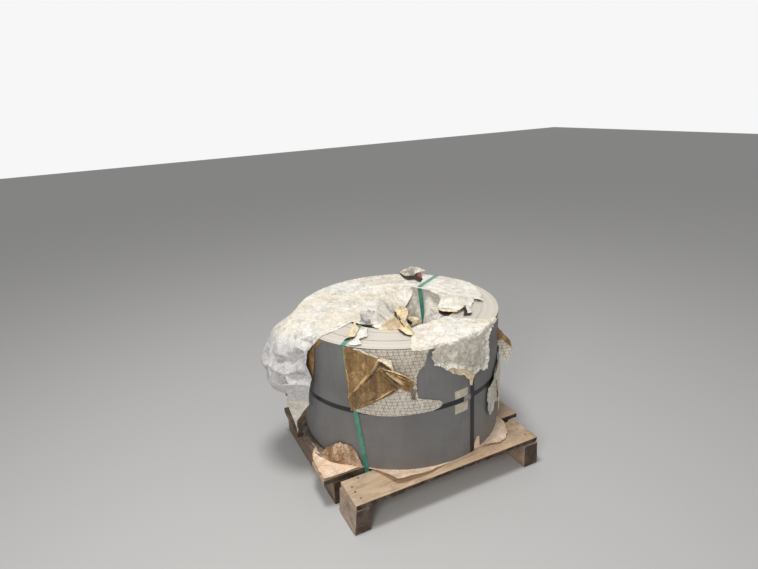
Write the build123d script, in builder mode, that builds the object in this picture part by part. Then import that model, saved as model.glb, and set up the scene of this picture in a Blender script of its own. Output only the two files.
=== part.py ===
"""A slit steel coil standing on its end on a rough timber skid, in what is left of its paper wrapper.

Millimetres, +Z up. The floor is z = 0, X runs along the deck boards and Y along the runners. The
origin lies on the floor under the middle of the whole load, so the coil's axis is at x = coil_x.
Azimuths are degrees round the coil's axis from +X towards +Y, so the front corner is near -135.
"""
import os
from math import asin, cos, degrees, pi, radians, sin, sqrt

from build123d import *

os.makedirs("parts", exist_ok=True)

# Driving sizes of the coil: strip wound to coil_od on a collapsible mandrel, standing on end
coil_od = 860.0
coil_bore = 508.0
coil_width = 514.0
rim_ease = 1.2
turn_bunches = 5
turn_step = 1.6

# Timber skid: two runners under the middle two deck boards, and before and behind them short blocks
# under the first and the last. An overhang is how far a piece reaches past the coil's wall, and a
# minus sign is how far it stays inside it.
runner_width = 70.0
runner_height = 102.0
runner_wane = 9.0
runner_set_back = 2.0
runner_inset_left = 14.0
block_overhangs = {"front": 47.0, "back": 45.0}
block_tail = 1.0
# how far each block stands in from its runner's line, and how far its outer face leans in at its top
block_places = {
    "front_block_left": (0.0, 12.0),
    "front_block_right": (0.0, 0.0),
    "back_block_left": (70.0, 0.0),
    "back_block_right": (0.0, 0.0),
}
board_thickness = 25.0
board_ease = 2.0
board_wane = 7.0
deck_overhang = 45.0
front_board_gap = 31.0
back_board_gap = 29.0
# width, overhang at the left, overhang at the right, how far the left end runs out of square
board_sizes = {
    "deck_board_1": (154.0, 7.0, -40.0, 3.0),
    "deck_board_2": (138.0, 60.0, 5.0, 2.0),
    "deck_board_3": (239.0, 49.0, -2.0, 16.0),
    "deck_board_4": (144.0, -20.0, 2.0, 4.0),
}

# Steel banding, green strapping and the gaps that keep the layers apart
clearance = 0.3
band_width = 19.0
band_thickness = 0.9
strap_width = 19.0
strap_thickness = 1.0
waist_height = 246.0
waist_lean = 1.5
waist_lean_azimuth = 130.0
seal_length = 36.0
seal_grip = 1.0
seal_height = 23.0
seal_thickness = 1.4
eye_band_azimuth = -76.8
eye_band_bend = 1.0
# azimuths at the rim and at the bore, and how far the straps stand off at their other bends
front_strap_azimuths = (-144.8, -153.0)
back_strap_azimuths = (34.2, 35.9)
front_strap_off_board = 9.7
back_strap_off_board = 11.0
back_strap_off_runner = 24.0
front_strap_rise = 24.0
back_strap_rise = 15.0
front_strap_slack = 6.4
back_strap_slack = 42.5
front_strap_lift = 4.0
back_strap_lift = 6.0
# tape edges above and below the band's middle, and how far round from the eye band they lie
tape_edges = {"tape_upper": (12.0, 46.0), "tape_lower": (-13.0, -52.0)}
tape_near = 24.0
tape_far = 87.0

# Wrapper paper and base sheet, as plain solids a little thicker than the paper
paper = 2.0
base_sheet = 1.2
pad_gap = clearance + base_sheet + clearance
tape_thickness = 0.6
cover_inset = 1.0
base_hole_margin = 12.0
base_slot_margin = 4.0
drape_reach = 577.0
drape_azimuth = 170.0
drape_sheet = 4.0
tuft_half_width = 62.0
tuft_height = 92.0
right_flap_half_width = 44.0
right_flap_length = 166.0

# Derived places
wall_radius = coil_od / 2
bore_radius = coil_bore / 2
deck_top = runner_height + board_thickness
coil_bottom = deck_top + pad_gap
coil_top = coil_bottom + coil_width
board_reach = wall_radius + max(right for _, _, right, _ in board_sizes.values())
coil_x = (drape_reach - board_reach) / 2
coil_axis = Axis((coil_x, 0, 0), (0, 0, 1))
band_radius = wall_radius + clearance
strap_radius = band_radius + band_thickness + clearance
wrap_radius = strap_radius + max(strap_thickness, seal_thickness) + clearance
flap_radius = wrap_radius + paper + clearance
top_layer = coil_top + clearance
cover_bottom = top_layer + strap_thickness + clearance
cover_top = cover_bottom + paper
strap_top = cover_top + clearance
drape_radius = drape_reach / cos(radians(180 - drape_azimuth))


def polar(radius, azimuth):
    """A point of the plan, round the coil's axis."""
    return (coil_x + radius * cos(radians(azimuth)), radius * sin(radians(azimuth)))


def ring_point(share, azimuth):
    """A point of the plan by shares: 0 is the coil's axis, 1 the bore, 2 the rim, more is outside."""
    if share < 1:
        return polar(share * bore_radius, azimuth)
    return polar(bore_radius + (share - 1) * (wall_radius - bore_radius), azimuth)


def up(share):
    """A height on the wall, 0 at the coil's foot and 1 at its top."""
    return coil_bottom + share * coil_width


def wall_plane(azimuth):
    """The upright plane through the coil's axis that faces outward at this azimuth, x to the right
    as seen from outside and y up."""
    tangent = (-sin(radians(azimuth)), cos(radians(azimuth)), 0)
    outward = (cos(radians(azimuth)), sin(radians(azimuth)), 0)
    return Plane(origin=(coil_x, 0, 0), x_dir=tangent, z_dir=outward)


def round_sheet(radius, thickness, outline, facing):
    """A sheet that lies round the coil, cut to an outline of (azimuth, height) corners."""
    low = min(height for _, height in outline)
    high = max(height for _, height in outline)
    with BuildPart() as sheet:
        with BuildSketch(Plane.XY.offset(low)):
            with Locations((coil_x, 0)):
                Circle(radius + thickness)
                Circle(radius, mode=Mode.SUBTRACT)
        extrude(amount=high - low)
        with BuildSketch(wall_plane(facing)):
            with BuildLine():
                Polyline([(radius * sin(radians(a - facing)), h) for a, h in outline], close=True)
            make_face()
        extrude(amount=radius + 2 * thickness, mode=Mode.INTERSECT)
    return sheet.part


def section_plane(azimuth):
    """The upright plane through the coil's axis at this azimuth, x outward and y up."""
    return Plane(
        origin=(coil_x, 0, 0),
        x_dir=(cos(radians(azimuth)), sin(radians(azimuth)), 0),
        z_dir=(sin(radians(azimuth)), -cos(radians(azimuth)), 0),
    )


def save(piece, name):
    piece.part.label = name
    export_step(piece.part, f"parts/{name}.step")


# Coil: one turned solid. Its turns lie in a few bunches, each a little prouder or lower at the ends.
def end_steps(face, outward):
    """The bunches of turns across one end, as (radius, height) points from the bore to the wall."""
    bunch = (wall_radius - bore_radius) / turn_bunches
    points = []
    for index in range(turn_bunches):
        height = face - outward * turn_step * (index % 2)
        inner = bore_radius + index * bunch
        points += [(inner, height), (inner + bunch, height)]
    return points


with BuildPart() as coil:
    with BuildSketch(Plane.XZ):
        with BuildLine():
            section = end_steps(coil_bottom, -1) + end_steps(coil_top, 1)[::-1]
            Polyline([(coil_x + radius, height) for radius, height in section], close=True)
        make_face()
    revolve(axis=coil_axis)
    chamfer(coil.edges().filter_by(lambda e: abs(e.radius - wall_radius) < rim_ease
                                   if e.geom_type == GeomType.CIRCLE else False), rim_ease)
save(coil, "coil")


# Deck boards: sawn boards with eased edges, a waney front edge and ends cut a little out of square.
# The first two are set out from the skid's front and the last two from its back.
width_1, width_2, width_3, width_4 = (sizes[0] for sizes in board_sizes.values())
board_2_front = -(wall_radius + deck_overhang) + width_1 + front_board_gap
board_2_back = board_2_front + width_2
board_3_back = wall_radius + deck_overhang - width_4 - back_board_gap
board_3_front = board_3_back - width_3
board_fronts = (
    -(wall_radius + deck_overhang),
    board_2_front,
    board_3_front,
    board_3_back + back_board_gap,
)
for front, (board_name, (width, left_over, right_over, skew)) in zip(board_fronts, board_sizes.items()):
    left = coil_x - wall_radius - left_over
    right = coil_x + wall_radius + right_over
    back = front + width
    with BuildPart() as board:
        with BuildSketch(Plane.XY.offset(runner_height)):
            with BuildLine():
                Polyline([(left, front), (right, front), (right, back), (left + skew, back)], close=True)
            make_face()
        extrude(amount=board_thickness)
        top_edges = board.faces().sort_by(Axis.Z)[-1].edges()
        chamfer(top_edges, board_ease)
        waney_edge = board.faces().sort_by(Axis.Z)[0].edges().sort_by(Axis.Y)[0]
        chamfer(waney_edge, board_wane)
    save(board, board_name)


# Runners and blocks: heavy sawn timbers on edge, with wane along one lower corner of the runners.
# The back strap goes down through the gap before the last board, close inside the right runner's
# line.
front_foot_azimuth = -180 + degrees(asin((-board_2_front + front_strap_off_board) / strap_radius))
back_foot_azimuth = degrees(asin((board_3_back + back_strap_off_board) / strap_radius))
right_runner_face = strap_radius * cos(radians(back_foot_azimuth)) + back_strap_off_runner
runner_front = board_2_front + runner_set_back
runner_back = board_3_back - runner_set_back
block_spans = {
    "front": (-(wall_radius + block_overhangs["front"]), board_2_front - front_board_gap + block_tail),
    "back": (board_3_back + back_board_gap - block_tail, wall_radius + block_overhangs["back"]),
}
supports = {
    "left": (coil_x - wall_radius + runner_inset_left, -1),
    "right": (coil_x + right_runner_face + runner_width / 2, 1),
}
for side_name, (support_axis, side) in supports.items():
    with BuildPart() as runner:
        with BuildSketch(Plane.XZ.offset(-runner_back)):
            with Locations((support_axis, runner_height / 2)):
                Rectangle(runner_width, runner_height)
        extrude(amount=runner_back - runner_front)
        inner_low = runner.edges().filter_by(Axis.Y).sort_by(Axis.Z)[:2].sort_by(Axis.X)
        chamfer(inner_low[-1] if side < 0 else inner_low[0], runner_wane)
    save(runner, f"runner_{side_name}")

for block_name, (inset, batter) in block_places.items():
    end_name, _, side_name = block_name.split("_")
    block_front, block_back = block_spans[end_name]
    support_axis, side = supports[side_name]
    inner_face = support_axis - side * (inset + runner_width / 2)
    outer_face = inner_face + side * runner_width
    with BuildPart() as block:
        with BuildSketch(Plane.XZ.offset(-block_back)):
            with BuildLine():
                Polyline([(inner_face, 0), (outer_face, 0),
                          (outer_face - side * batter, runner_height),
                          (inner_face, runner_height)], close=True)
            make_face()
        extrude(amount=block_back - block_front)
    save(block, block_name)


# Base sheet: kraft paper pressed flat between the coil and the deck, slit where the bands pass
# (share of the wall's radius, azimuth)
base_outline = [
    (1.27, -148.1), (1.02, -138.9), (1.07, -133.9), (1.14, -120.8), (1.21, -115.7), (1.09, -104.9),
    (1.08, -82.6), (1.24, -55.7), (1.17, -42.7), (0.97, -24.1), (0.78, 11.3), (0.96, 62.0),
    (0.96, 118.0), (0.93, 162.5), (0.97, -163.3), (1.17, -159.0),
]
with BuildPart() as base_paper:
    with BuildSketch(Plane.XY.offset(deck_top + clearance)):
        with BuildLine():
            Polyline([polar(share * wall_radius, azimuth) for share, azimuth in base_outline], close=True)
        make_face()
        with Locations((coil_x, 0)):
            Circle(bore_radius + base_hole_margin, mode=Mode.SUBTRACT)
        with Locations(Location(polar(wall_radius, eye_band_azimuth), eye_band_azimuth)):
            Rectangle(coil_od, band_width + base_slot_margin, mode=Mode.SUBTRACT)
        with Locations(Location(polar(strap_radius, front_foot_azimuth), front_foot_azimuth)):
            Rectangle(2 * strap_width, strap_width + 2 * base_slot_margin, mode=Mode.SUBTRACT)
    extrude(amount=base_sheet)
save(base_paper, "base_paper")


# Waist band: a steel band drawn tight round the wall, leaning a little, with a gap under its seal,
# which lies right beside the eye band
waist_gap_azimuth = eye_band_azimuth - degrees(((seal_length + band_width) / 2 + clearance) / wall_radius)
lean_plane = Plane(
    origin=(coil_x, 0, coil_bottom + waist_height),
    z_dir=(
        sin(radians(waist_lean)) * cos(radians(waist_lean_azimuth)),
        sin(radians(waist_lean)) * sin(radians(waist_lean_azimuth)),
        cos(radians(waist_lean)),
    ),
)
band_span = wall_radius * sin(radians(waist_lean)) + band_width
with BuildPart() as waist_band:
    with BuildSketch(Plane.XY.offset(coil_bottom + waist_height - band_span)):
        with Locations((coil_x, 0)):
            Circle(band_radius + band_thickness)
            Circle(band_radius, mode=Mode.SUBTRACT)
    extrude(amount=2 * band_span)
    with BuildSketch(lean_plane.offset(-band_width / 2)):
        Circle(2 * wall_radius)
    extrude(amount=band_width, mode=Mode.INTERSECT)
    gap_width = seal_length - 2 * seal_grip
    with BuildSketch(wall_plane(waist_gap_azimuth)):
        with Locations((0, coil_bottom + waist_height)):
            Rectangle(gap_width, 4 * band_width)
    extrude(amount=2 * wall_radius, mode=Mode.SUBTRACT)
save(waist_band, "waist_band")


def waist_level(azimuth):
    """Height of the waist band's middle at this azimuth."""
    across = wall_radius * cos(radians(azimuth - waist_lean_azimuth))
    return coil_bottom + waist_height - across * sin(radians(waist_lean))


# Seal: the crimped steel clip over the band's two ends
seal_half = degrees(seal_length / 2 / wall_radius)
seal_level = waist_level(waist_gap_azimuth)
with BuildPart() as waist_seal:
    add(round_sheet(strap_radius, seal_thickness, [
        (waist_gap_azimuth - seal_half, seal_level - seal_height / 2),
        (waist_gap_azimuth + seal_half, seal_level - seal_height / 2),
        (waist_gap_azimuth + seal_half, seal_level + seal_height / 2),
        (waist_gap_azimuth - seal_half, seal_level + seal_height / 2),
    ], waist_gap_azimuth))
save(waist_seal, "waist_seal")


# Tape patches on the wall, above and below the band beside its seal
tape_azimuths = [eye_band_azimuth - degrees(reach / wall_radius) for reach in (tape_far, tape_near)]
for tape_name, (near_edge, far_edge) in tape_edges.items():
    with BuildPart() as tape:
        add(round_sheet(band_radius, tape_thickness, [
            (tape_azimuths[0], waist_level(tape_azimuths[0]) + near_edge),
            (tape_azimuths[1], waist_level(tape_azimuths[1]) + near_edge),
            (tape_azimuths[1], waist_level(tape_azimuths[1]) + far_edge),
            (tape_azimuths[0], waist_level(tape_azimuths[0]) + far_edge),
        ], sum(tape_azimuths) / 2))
    save(tape, tape_name)


# Eye band: a steel band that passes through the eye and under the coil, round the coil's section
with BuildPart() as eye_band:
    loop_in = bore_radius - 2 * clearance
    loop_out = strap_radius
    loop_low = coil_bottom - clearance
    loop_high = top_layer
    with BuildSketch(section_plane(eye_band_azimuth).offset(-band_width / 2)):
        with Locations(((loop_in + loop_out) / 2, (loop_low + loop_high) / 2)):
            RectangleRounded(
                loop_out - loop_in + 2 * band_thickness,
                loop_high - loop_low + 2 * band_thickness,
                eye_band_bend + band_thickness,
            )
            RectangleRounded(loop_out - loop_in, loop_high - loop_low, eye_band_bend, mode=Mode.SUBTRACT)
    extrude(amount=band_width)
save(eye_band, "eye_band")


# Green straps: down the wall, through a gap of the deck, under a board and up through the bore
def crosswise(azimuth):
    """Half a strap's width, square to this azimuth."""
    return Vector(-sin(radians(azimuth)), cos(radians(azimuth))) * (strap_width / 2)


def strap_loop(foot, rim, eye, bore_foot, top, lift):
    """One strap. foot, rim and eye are azimuths at its bends, and bore_foot is where it comes up."""
    under = runner_height - clearance
    half_out = degrees(asin(strap_width / 2 / strap_radius))
    outer = round_sheet(strap_radius, strap_thickness, [
        (foot - half_out, under - strap_thickness),
        (foot + half_out, under - strap_thickness),
        (rim + half_out, top + strap_thickness),
        (rim - half_out, top + strap_thickness),
    ], (foot + rim) / 2)
    rim_point = Vector(*polar(strap_radius + strap_thickness, rim))
    foot_point = Vector(*polar(strap_radius + strap_thickness, foot))
    eye_point = Vector(*polar(bore_radius - lift, eye))
    bore_low = Vector(coil_x + bore_foot[0], bore_foot[1])
    side = crosswise(eye)
    inward = Vector(cos(radians(eye)), sin(radians(eye))) * -strap_thickness
    flat_runs = (
        (top, rim_point, crosswise(rim), eye_point),
        (under - strap_thickness, foot_point, crosswise(foot), bore_low),
    )
    with BuildPart() as strap:
        add(outer)
        # over the top face from the rim to the bore, and under the deck from wall to bore
        for level, start, start_side, end in flat_runs:
            with BuildSketch(Plane.XY.offset(level)):
                with BuildLine():
                    Polyline([start - start_side, start + start_side,
                              end + inward + side, end + inward - side], close=True)
                make_face()
            extrude(amount=strap_thickness)
        # up through the bore, straight from one bend to the other
        for level, foot_of_run in ((under, bore_low), (top + strap_thickness / 2, eye_point)):
            with BuildSketch(Plane.XY.offset(level)):
                with BuildLine():
                    Polyline([foot_of_run - side, foot_of_run + side,
                              foot_of_run + side + inward, foot_of_run - side + inward], close=True)
                make_face()
        loft(ruled=True)
    return strap


front_rise_y = board_2_back + front_strap_rise
front_rise_x = -sqrt((bore_radius - front_strap_slack) ** 2 - front_rise_y**2)
strap_front = strap_loop(front_foot_azimuth, *front_strap_azimuths, (front_rise_x, front_rise_y),
                         top_layer, front_strap_lift)
save(strap_front, "strap_front")
back_rise_y = board_3_front - back_strap_rise
back_rise_x = sqrt((bore_radius - back_strap_slack) ** 2 - back_rise_y**2)
strap_back = strap_loop(back_foot_azimuth, *back_strap_azimuths, (back_rise_x, back_rise_y),
                        strap_top, back_strap_lift)
save(strap_back, "strap_back")


# Top cover: the wrapper's end sheet. It covers the back of the top face and bridges the eye's left
# side. It is torn away over the near-left face and at the right.
cover_outline = [
    (3.00, -159.5), (1.26, -160.5), (0.94, -164.0), (0.77, -172.0), (0.24, 150.0), (0.32, 118.0),
    (1.02, 73.0), (1.02, 50.0), (1.02, 20.0), (1.02, -5.0), (0.94, -22.0), (0.75, -36.0),
    (0.72, -47.0), (1.10, -47.5), (1.43, -38.0), (1.74, -29.0), (1.78, -8.0), (2.06, -3.0),
    (3.00, 30.0), (3.00, 90.0), (3.00, 150.0),
]
with BuildPart() as top_cover:
    with BuildSketch(Plane.XY.offset(cover_bottom)):
        with Locations((coil_x, 0)):
            Circle(wall_radius - cover_inset)
        with BuildLine():
            Polyline([ring_point(share, azimuth) for share, azimuth in cover_outline], close=True)
        make_face(mode=Mode.INTERSECT)
    extrude(amount=paper)
save(top_cover, "top_cover")

# Front cover: the piece of the end sheet left over the near-right face
front_outline = [
    (3.00, -107.0), (1.67, -109.5), (1.05, -115.0), (0.94, -96.0), (0.94, -66.0), (1.52, -60.0),
    (1.80, -50.0), (2.17, -44.0), (3.00, -70.0),
]
with BuildPart() as front_cover:
    with BuildSketch(Plane.XY.offset(cover_bottom)):
        with Locations((coil_x, 0)):
            Circle(wall_radius - cover_inset)
            Circle(bore_radius + clearance, mode=Mode.SUBTRACT)
        with BuildLine():
            Polyline([ring_point(share, azimuth) for share, azimuth in front_outline], close=True)
        make_face(mode=Mode.INTERSECT)
    extrude(amount=paper)
save(front_cover, "front_cover")


# Bore liner: the sheet that hangs down inside the far side of the bore
with BuildPart() as bore_liner:
    add(round_sheet(bore_radius - clearance - paper, paper, [
        (-30.0, up(0.292)), (10.0, up(0.185)), (46.0, up(0.233)), (78.0, up(0.409)),
        (78.0, up(0.996)), (-30.0, up(0.996)),
    ], 24.0))
save(bore_liner, "bore_liner")


# Outer wrap: the band of wrapper left on the front of the wall
with BuildPart() as outer_wrap:
    add(round_sheet(wrap_radius, paper, [
        (-143.5, up(0.992)), (-134.0, up(0.922)), (-141.5, up(0.479)), (-120.0, up(0.463)),
        (-95.4, up(0.482)), (-95.0, up(0.537)), (-102.5, up(0.642)), (-108.0, up(0.798)),
        (-106.0, up(0.899)), (-101.5, up(0.992)),
    ], -120.0))
save(outer_wrap, "outer_wrap")

# Torn wrap: the ragged sheet beside it, up to the bare patch at its right
with BuildPart() as torn_wrap:
    add(round_sheet(wrap_radius, paper, [
        (-101.3, up(0.992)), (-102.0, up(0.879)), (-96.0, up(0.778)), (-86.0, up(0.681)),
        (-78.0, up(0.584)), (-71.0, up(0.576)), (-70.0, up(0.778)), (-62.0, up(0.914)),
        (-40.0, up(0.949)), (-40.0, up(0.992)),
    ], -75.0))
save(torn_wrap, "torn_wrap")

# Low wrap: the piece left low on the right of the wall
with BuildPart() as low_wrap:
    add(round_sheet(strap_radius, paper, [
        (-63.5, up(0.136)), (-60.0, up(0.117)), (-44.0, up(0.214)), (-30.0, up(0.370)),
        (-30.0, up(0.817)), (-47.0, up(0.642)), (-60.0, up(0.370)),
    ], -45.0))
save(low_wrap, "low_wrap")


# Kraft flap: the corner of the wrapper folded back, its brown side out
with BuildPart() as kraft_flap:
    add(round_sheet(flap_radius, paper, [
        (-144.6, up(0.982)), (-138.5, up(0.973)), (-121.5, up(0.879)), (-109.5, up(0.728)),
        (-118.0, up(0.642)), (-142.2, up(0.490)),
    ], -128.0))
save(kraft_flap, "kraft_flap")


# Left drape: the torn sheet that hangs off the rim, swings clear of the wall and comes back at its
# tip. Each section is (azimuth, how far up the coil it ends, how full the swing is).
drape_sections = [
    (151.0, 0.837, 0.10),
    (160.0, 0.350, 0.80),
    (drape_azimuth, 0.016, 1.00),
    (180.0, 0.175, 0.96),
    (188.0, 0.389, 0.60),
    (195.0, 0.642, 0.34),
    (201.0, 0.924, 0.12),
]
drape_levels = 6
drape_span = max(far[0] - near[0] for near, far in zip(drape_sections, drape_sections[1:]))
drape_root = band_radius / cos(radians(drape_span / 2)) + drape_sheet
drape_top = coil_top - 2 * rim_ease
drape_belly = 0.68
drape_tip = 0.33
drape_full = 1.12


def swing(share):
    """How far the sheet has swung out at this share of the drop, 1 where it is fullest."""
    return (sin(pi * share**drape_belly) + drape_tip * share) / drape_full


def creased_sheet(rows, thickness):
    """A sheet folded into flat triangles. Each row runs down the sheet as (radius, azimuth, height)."""
    outer = [[Vector(*polar(r, a), h) for r, a, h in row] for row in rows]
    inner = [[Vector(*polar(r - thickness, a), h) for r, a, h in row] for row in rows]
    cells = []
    for this, following in zip(range(len(rows)), range(1, len(rows))):
        for side in (outer, inner):
            cells += [
                (side[this][k], side[following][k], side[following][k + 1], side[this][k + 1])
                for k in range(len(rows[this]) - 1)
            ]
        cells += [
            (outer[this][k], outer[following][k], inner[following][k], inner[this][k])
            for k in (0, -1)
        ]
    for end in (0, -1):
        cells += [
            (outer[end][k], outer[end][k + 1], inner[end][k + 1], inner[end][k])
            for k in range(len(rows[end]) - 1)
        ]
    faces = []
    for one, two, three, four in cells:
        faces += [Face(Wire.make_polygon([one, two, three])), Face(Wire.make_polygon([one, three, four]))]
    return Solid(Shell(faces))


drape_rows = []
for azimuth, lowest, fullness in drape_sections:
    drops = [(drape_top - up(lowest)) * k / (drape_levels - 1) for k in range(drape_levels)]
    reach = fullness * (drape_radius - drape_root)
    drape_rows.append([(drape_root + reach * swing(d / coil_width), azimuth, drape_top - d) for d in drops])

with BuildPart() as left_drape:
    add(creased_sheet(drape_rows, drape_sheet))
save(left_drape, "left_drape")


# Kraft tufts: the brown inner paper, torn and standing up at the near edge of the bore, and a
# corner of it that sticks out from the wall at the right
def leaning_sheet(radius, height, azimuth, lean, outline):
    """A flat sheet whose foot lies at this radius and height; lean turns its top outward."""
    outward = (cos(radians(azimuth)), sin(radians(azimuth)))
    plane = Plane(
        origin=(*polar(radius, azimuth), height),
        x_dir=(-outward[1], outward[0], 0),
        z_dir=(
            outward[0] * cos(radians(lean)),
            outward[1] * cos(radians(lean)),
            -sin(radians(lean)),
        ),
    )
    with BuildPart() as sheet:
        with BuildSketch(plane):
            with BuildLine():
                Polyline(outline, close=True)
            make_face()
        extrude(amount=paper)
    return sheet


kraft_tuft = leaning_sheet(bore_radius - paper / 2, top_layer, -124.0, -42.0, [
    (tuft_half_width * x, tuft_height * y)
    for x, y in [
        (-1.0, 0.0), (-0.48, 0.24), (-0.19, 0.67), (0.13, 0.85), (0.32, 0.72), (0.58, 1.0),
        (0.94, 0.65), (1.0, 0.09), (0.65, 0.0),
    ]
])
save(kraft_tuft, "kraft_tuft")
right_flap = leaning_sheet(band_radius, up(0.856), -41.0, -20.0, [
    (right_flap_half_width * x, -right_flap_length * y)
    for x, y in [
        (-0.77, 0.03), (0.0, 0.0), (0.77, 0.07), (1.0, 0.54), (0.68, 0.90), (0.14, 1.0), (-0.45, 0.66),
    ]
])
save(right_flap, "right_flap")
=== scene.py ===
from math import atan2, ceil, cos, degrees, floor, hypot, radians, sin

import bpy
import numpy as np
from mathutils import Matrix, Vector, noise
from mathutils.geometry import delaunay_2d_cdt


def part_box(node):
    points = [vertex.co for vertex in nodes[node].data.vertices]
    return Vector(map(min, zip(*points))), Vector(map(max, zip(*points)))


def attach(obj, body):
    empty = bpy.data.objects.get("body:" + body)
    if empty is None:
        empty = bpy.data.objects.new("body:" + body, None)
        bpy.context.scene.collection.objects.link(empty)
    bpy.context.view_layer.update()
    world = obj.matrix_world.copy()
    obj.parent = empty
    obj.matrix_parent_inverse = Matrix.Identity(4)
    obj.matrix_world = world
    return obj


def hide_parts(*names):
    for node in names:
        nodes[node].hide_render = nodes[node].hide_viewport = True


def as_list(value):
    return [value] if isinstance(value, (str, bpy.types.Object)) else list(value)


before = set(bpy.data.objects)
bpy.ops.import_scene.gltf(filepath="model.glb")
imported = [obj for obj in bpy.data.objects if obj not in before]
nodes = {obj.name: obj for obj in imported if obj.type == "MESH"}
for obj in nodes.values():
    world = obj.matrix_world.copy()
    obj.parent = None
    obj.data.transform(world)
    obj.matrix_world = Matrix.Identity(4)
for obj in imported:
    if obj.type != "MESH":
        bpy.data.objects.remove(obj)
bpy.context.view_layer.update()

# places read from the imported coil: its axis, wall, bore, foot and top
coilLow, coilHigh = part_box("coil")
axisX = (coilLow.x + coilHigh.x) / 2
wallRadius = (coilHigh.x - coilLow.x) / 2
coilFoot, coilTop = coilLow.z, coilHigh.z
coilWidth = coilTop - coilFoot
boreRadius = min(hypot(v.co.x - axisX, v.co.y) for v in nodes["coil"].data.vertices)
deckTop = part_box("deck_board_1")[1].z
mm = 0.001
rim, bore = wallRadius / mm, boreRadius / mm


# Small helpers for places, selections and modifiers

def selectNothing():
    bpy.ops.object.select_all(action="DESELECT")


def makeActive(piece):
    selectNothing()
    piece.select_set(True)
    bpy.context.view_layer.objects.active = piece


def bakePlace(piece):
    makeActive(piece)
    bpy.ops.object.transform_apply(location=True, rotation=True, scale=True)


def editMode(on):
    bpy.ops.object.mode_set(mode="EDIT" if on else "OBJECT")


def editWhere(piece, kind, test):
    # edit mode with only the faces, edges or corners selected whose middle passes the test
    makeActive(piece)
    editMode(True)
    bpy.ops.mesh.select_mode(type=kind)
    bpy.ops.mesh.select_all(action="DESELECT")
    editMode(False)
    mesh = piece.data
    if kind == "FACE":
        for face in mesh.polygons:
            face.select = test(face.center)
    elif kind == "EDGE":
        for edge in mesh.edges:
            a, b = (mesh.vertices[k].co for k in edge.vertices)
            edge.select = test((a + b) / 2)
    else:
        for vertex in mesh.vertices:
            vertex.select = test(vertex.co)
    editMode(True)


def moveWhere(piece, test, value):
    editWhere(piece, "VERT", test)
    bpy.ops.transform.translate(value=value)
    editMode(False)


def cutAcross(axis, places):
    # in edit mode, one cut through the whole piece at each place along the axis
    for at in places:
        spot, normal = Vector((0, 0, 0)), Vector((0, 0, 0))
        spot[axis], normal[axis] = at, 1
        bpy.ops.mesh.select_all(action="SELECT")
        bpy.ops.mesh.bisect(plane_co=spot, plane_no=normal)


def applyModifier(piece, kind, **settings):
    makeActive(piece)
    modifier = piece.modifiers.new(kind.title(), kind)
    for name, value in settings.items():
        setattr(modifier, name, value)
    bpy.ops.object.modifier_apply(modifier=modifier.name)


def smooth(piece, angle=40):
    makeActive(piece)
    bpy.ops.object.shade_smooth_by_angle(angle=radians(angle))


def polar(radius, azimuth, height):
    return Vector((axisX + radius * cos(radians(azimuth)), radius * sin(radians(azimuth)), height))


def fromAxis(place):
    return hypot(place.x - axisX, place.y)


def outAndAside(azimuth):
    # level directions straight out from the axis and along the wall
    outward = Vector((cos(radians(azimuth)), sin(radians(azimuth)), 0))
    return outward, Vector((-outward.y, outward.x, 0))


def wobble(x, y, seed):
    return noise.noise(Vector((x, y, seed)))


def blendStep(low, high, value):
    share = min(1.0, max(0.0, (value - low) / (high - low)))
    return share * share * (3 - 2 * share)


def along(points, x):
    # a smooth line through (x, y) points that rise in x
    if x <= points[0][0]:
        return points[0][1]
    for k, ((x0, y0), (x1, y1)) in enumerate(zip(points, points[1:])):
        if x <= x1:
            before, after = points[max(0, k - 1)], points[min(len(points) - 1, k + 2)]
            width, t = x1 - x0, (x - x0) / (x1 - x0)
            slope0, slope1 = (y1 - before[1]) / (x1 - before[0]), (after[1] - y0) / (after[0] - x0)
            return (
                (2 * t**3 - 3 * t**2 + 1) * y0 + (t**3 - 2 * t**2 + t) * width * slope0
                + (3 * t**2 - 2 * t**3) * y1 + (t**3 - t**2) * width * slope1
            )
    return points[-1][1]


# Camera, light and floor

cameraView = {
    "place": (-0.9367, -1.9692, 1.496), "heading": -25.34, "tilt": 18.85, "roll": -3.13,
    "lens": 26.2, "sensor": 36, "reach": 60,
}


def makeCamera():
    data = bpy.data.cameras.new("camera")
    data.lens = cameraView["lens"]
    data.sensor_width = cameraView["sensor"]
    data.clip_end = cameraView["reach"]
    camera = bpy.data.objects.new("camera", data)
    bpy.context.scene.collection.objects.link(camera)
    turn = (
        Matrix.Rotation(radians(cameraView["heading"]), 4, "Z")
        @ Matrix.Rotation(radians(90 - cameraView["tilt"]), 4, "X")
        @ Matrix.Rotation(radians(cameraView["roll"]), 4, "Z")
    )
    camera.matrix_world = Matrix.Translation(cameraView["place"]) @ turn
    bpy.context.scene.camera = camera


stageLook = {
    "floor": 0.52, "floorSize": 30, "floorRoughness": 0.9, "sky": 0.34, "skyColour": (1.0, 0.99, 0.97, 1),
    "background": 0.93, "lampColour": (1.0, 0.985, 0.96), "aim": 0.4,
}
lamps = {
    "ceiling": {"place": (-0.45, -0.5, 3.9), "size": 0.9, "power": 78},
    "frontLeft": {"place": (-1.9, -2.3, 1.9), "size": 1.0, "power": 36},
}


def seenDirectly(tree):
    path = tree.nodes.new("ShaderNodeLightPath")
    first = math(tree, "MAXIMUM", path.outputs["Is Camera Ray"], path.outputs["Is Glossy Ray"])
    return math(tree, "MAXIMUM", first, path.outputs["Is Transmission Ray"])


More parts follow.
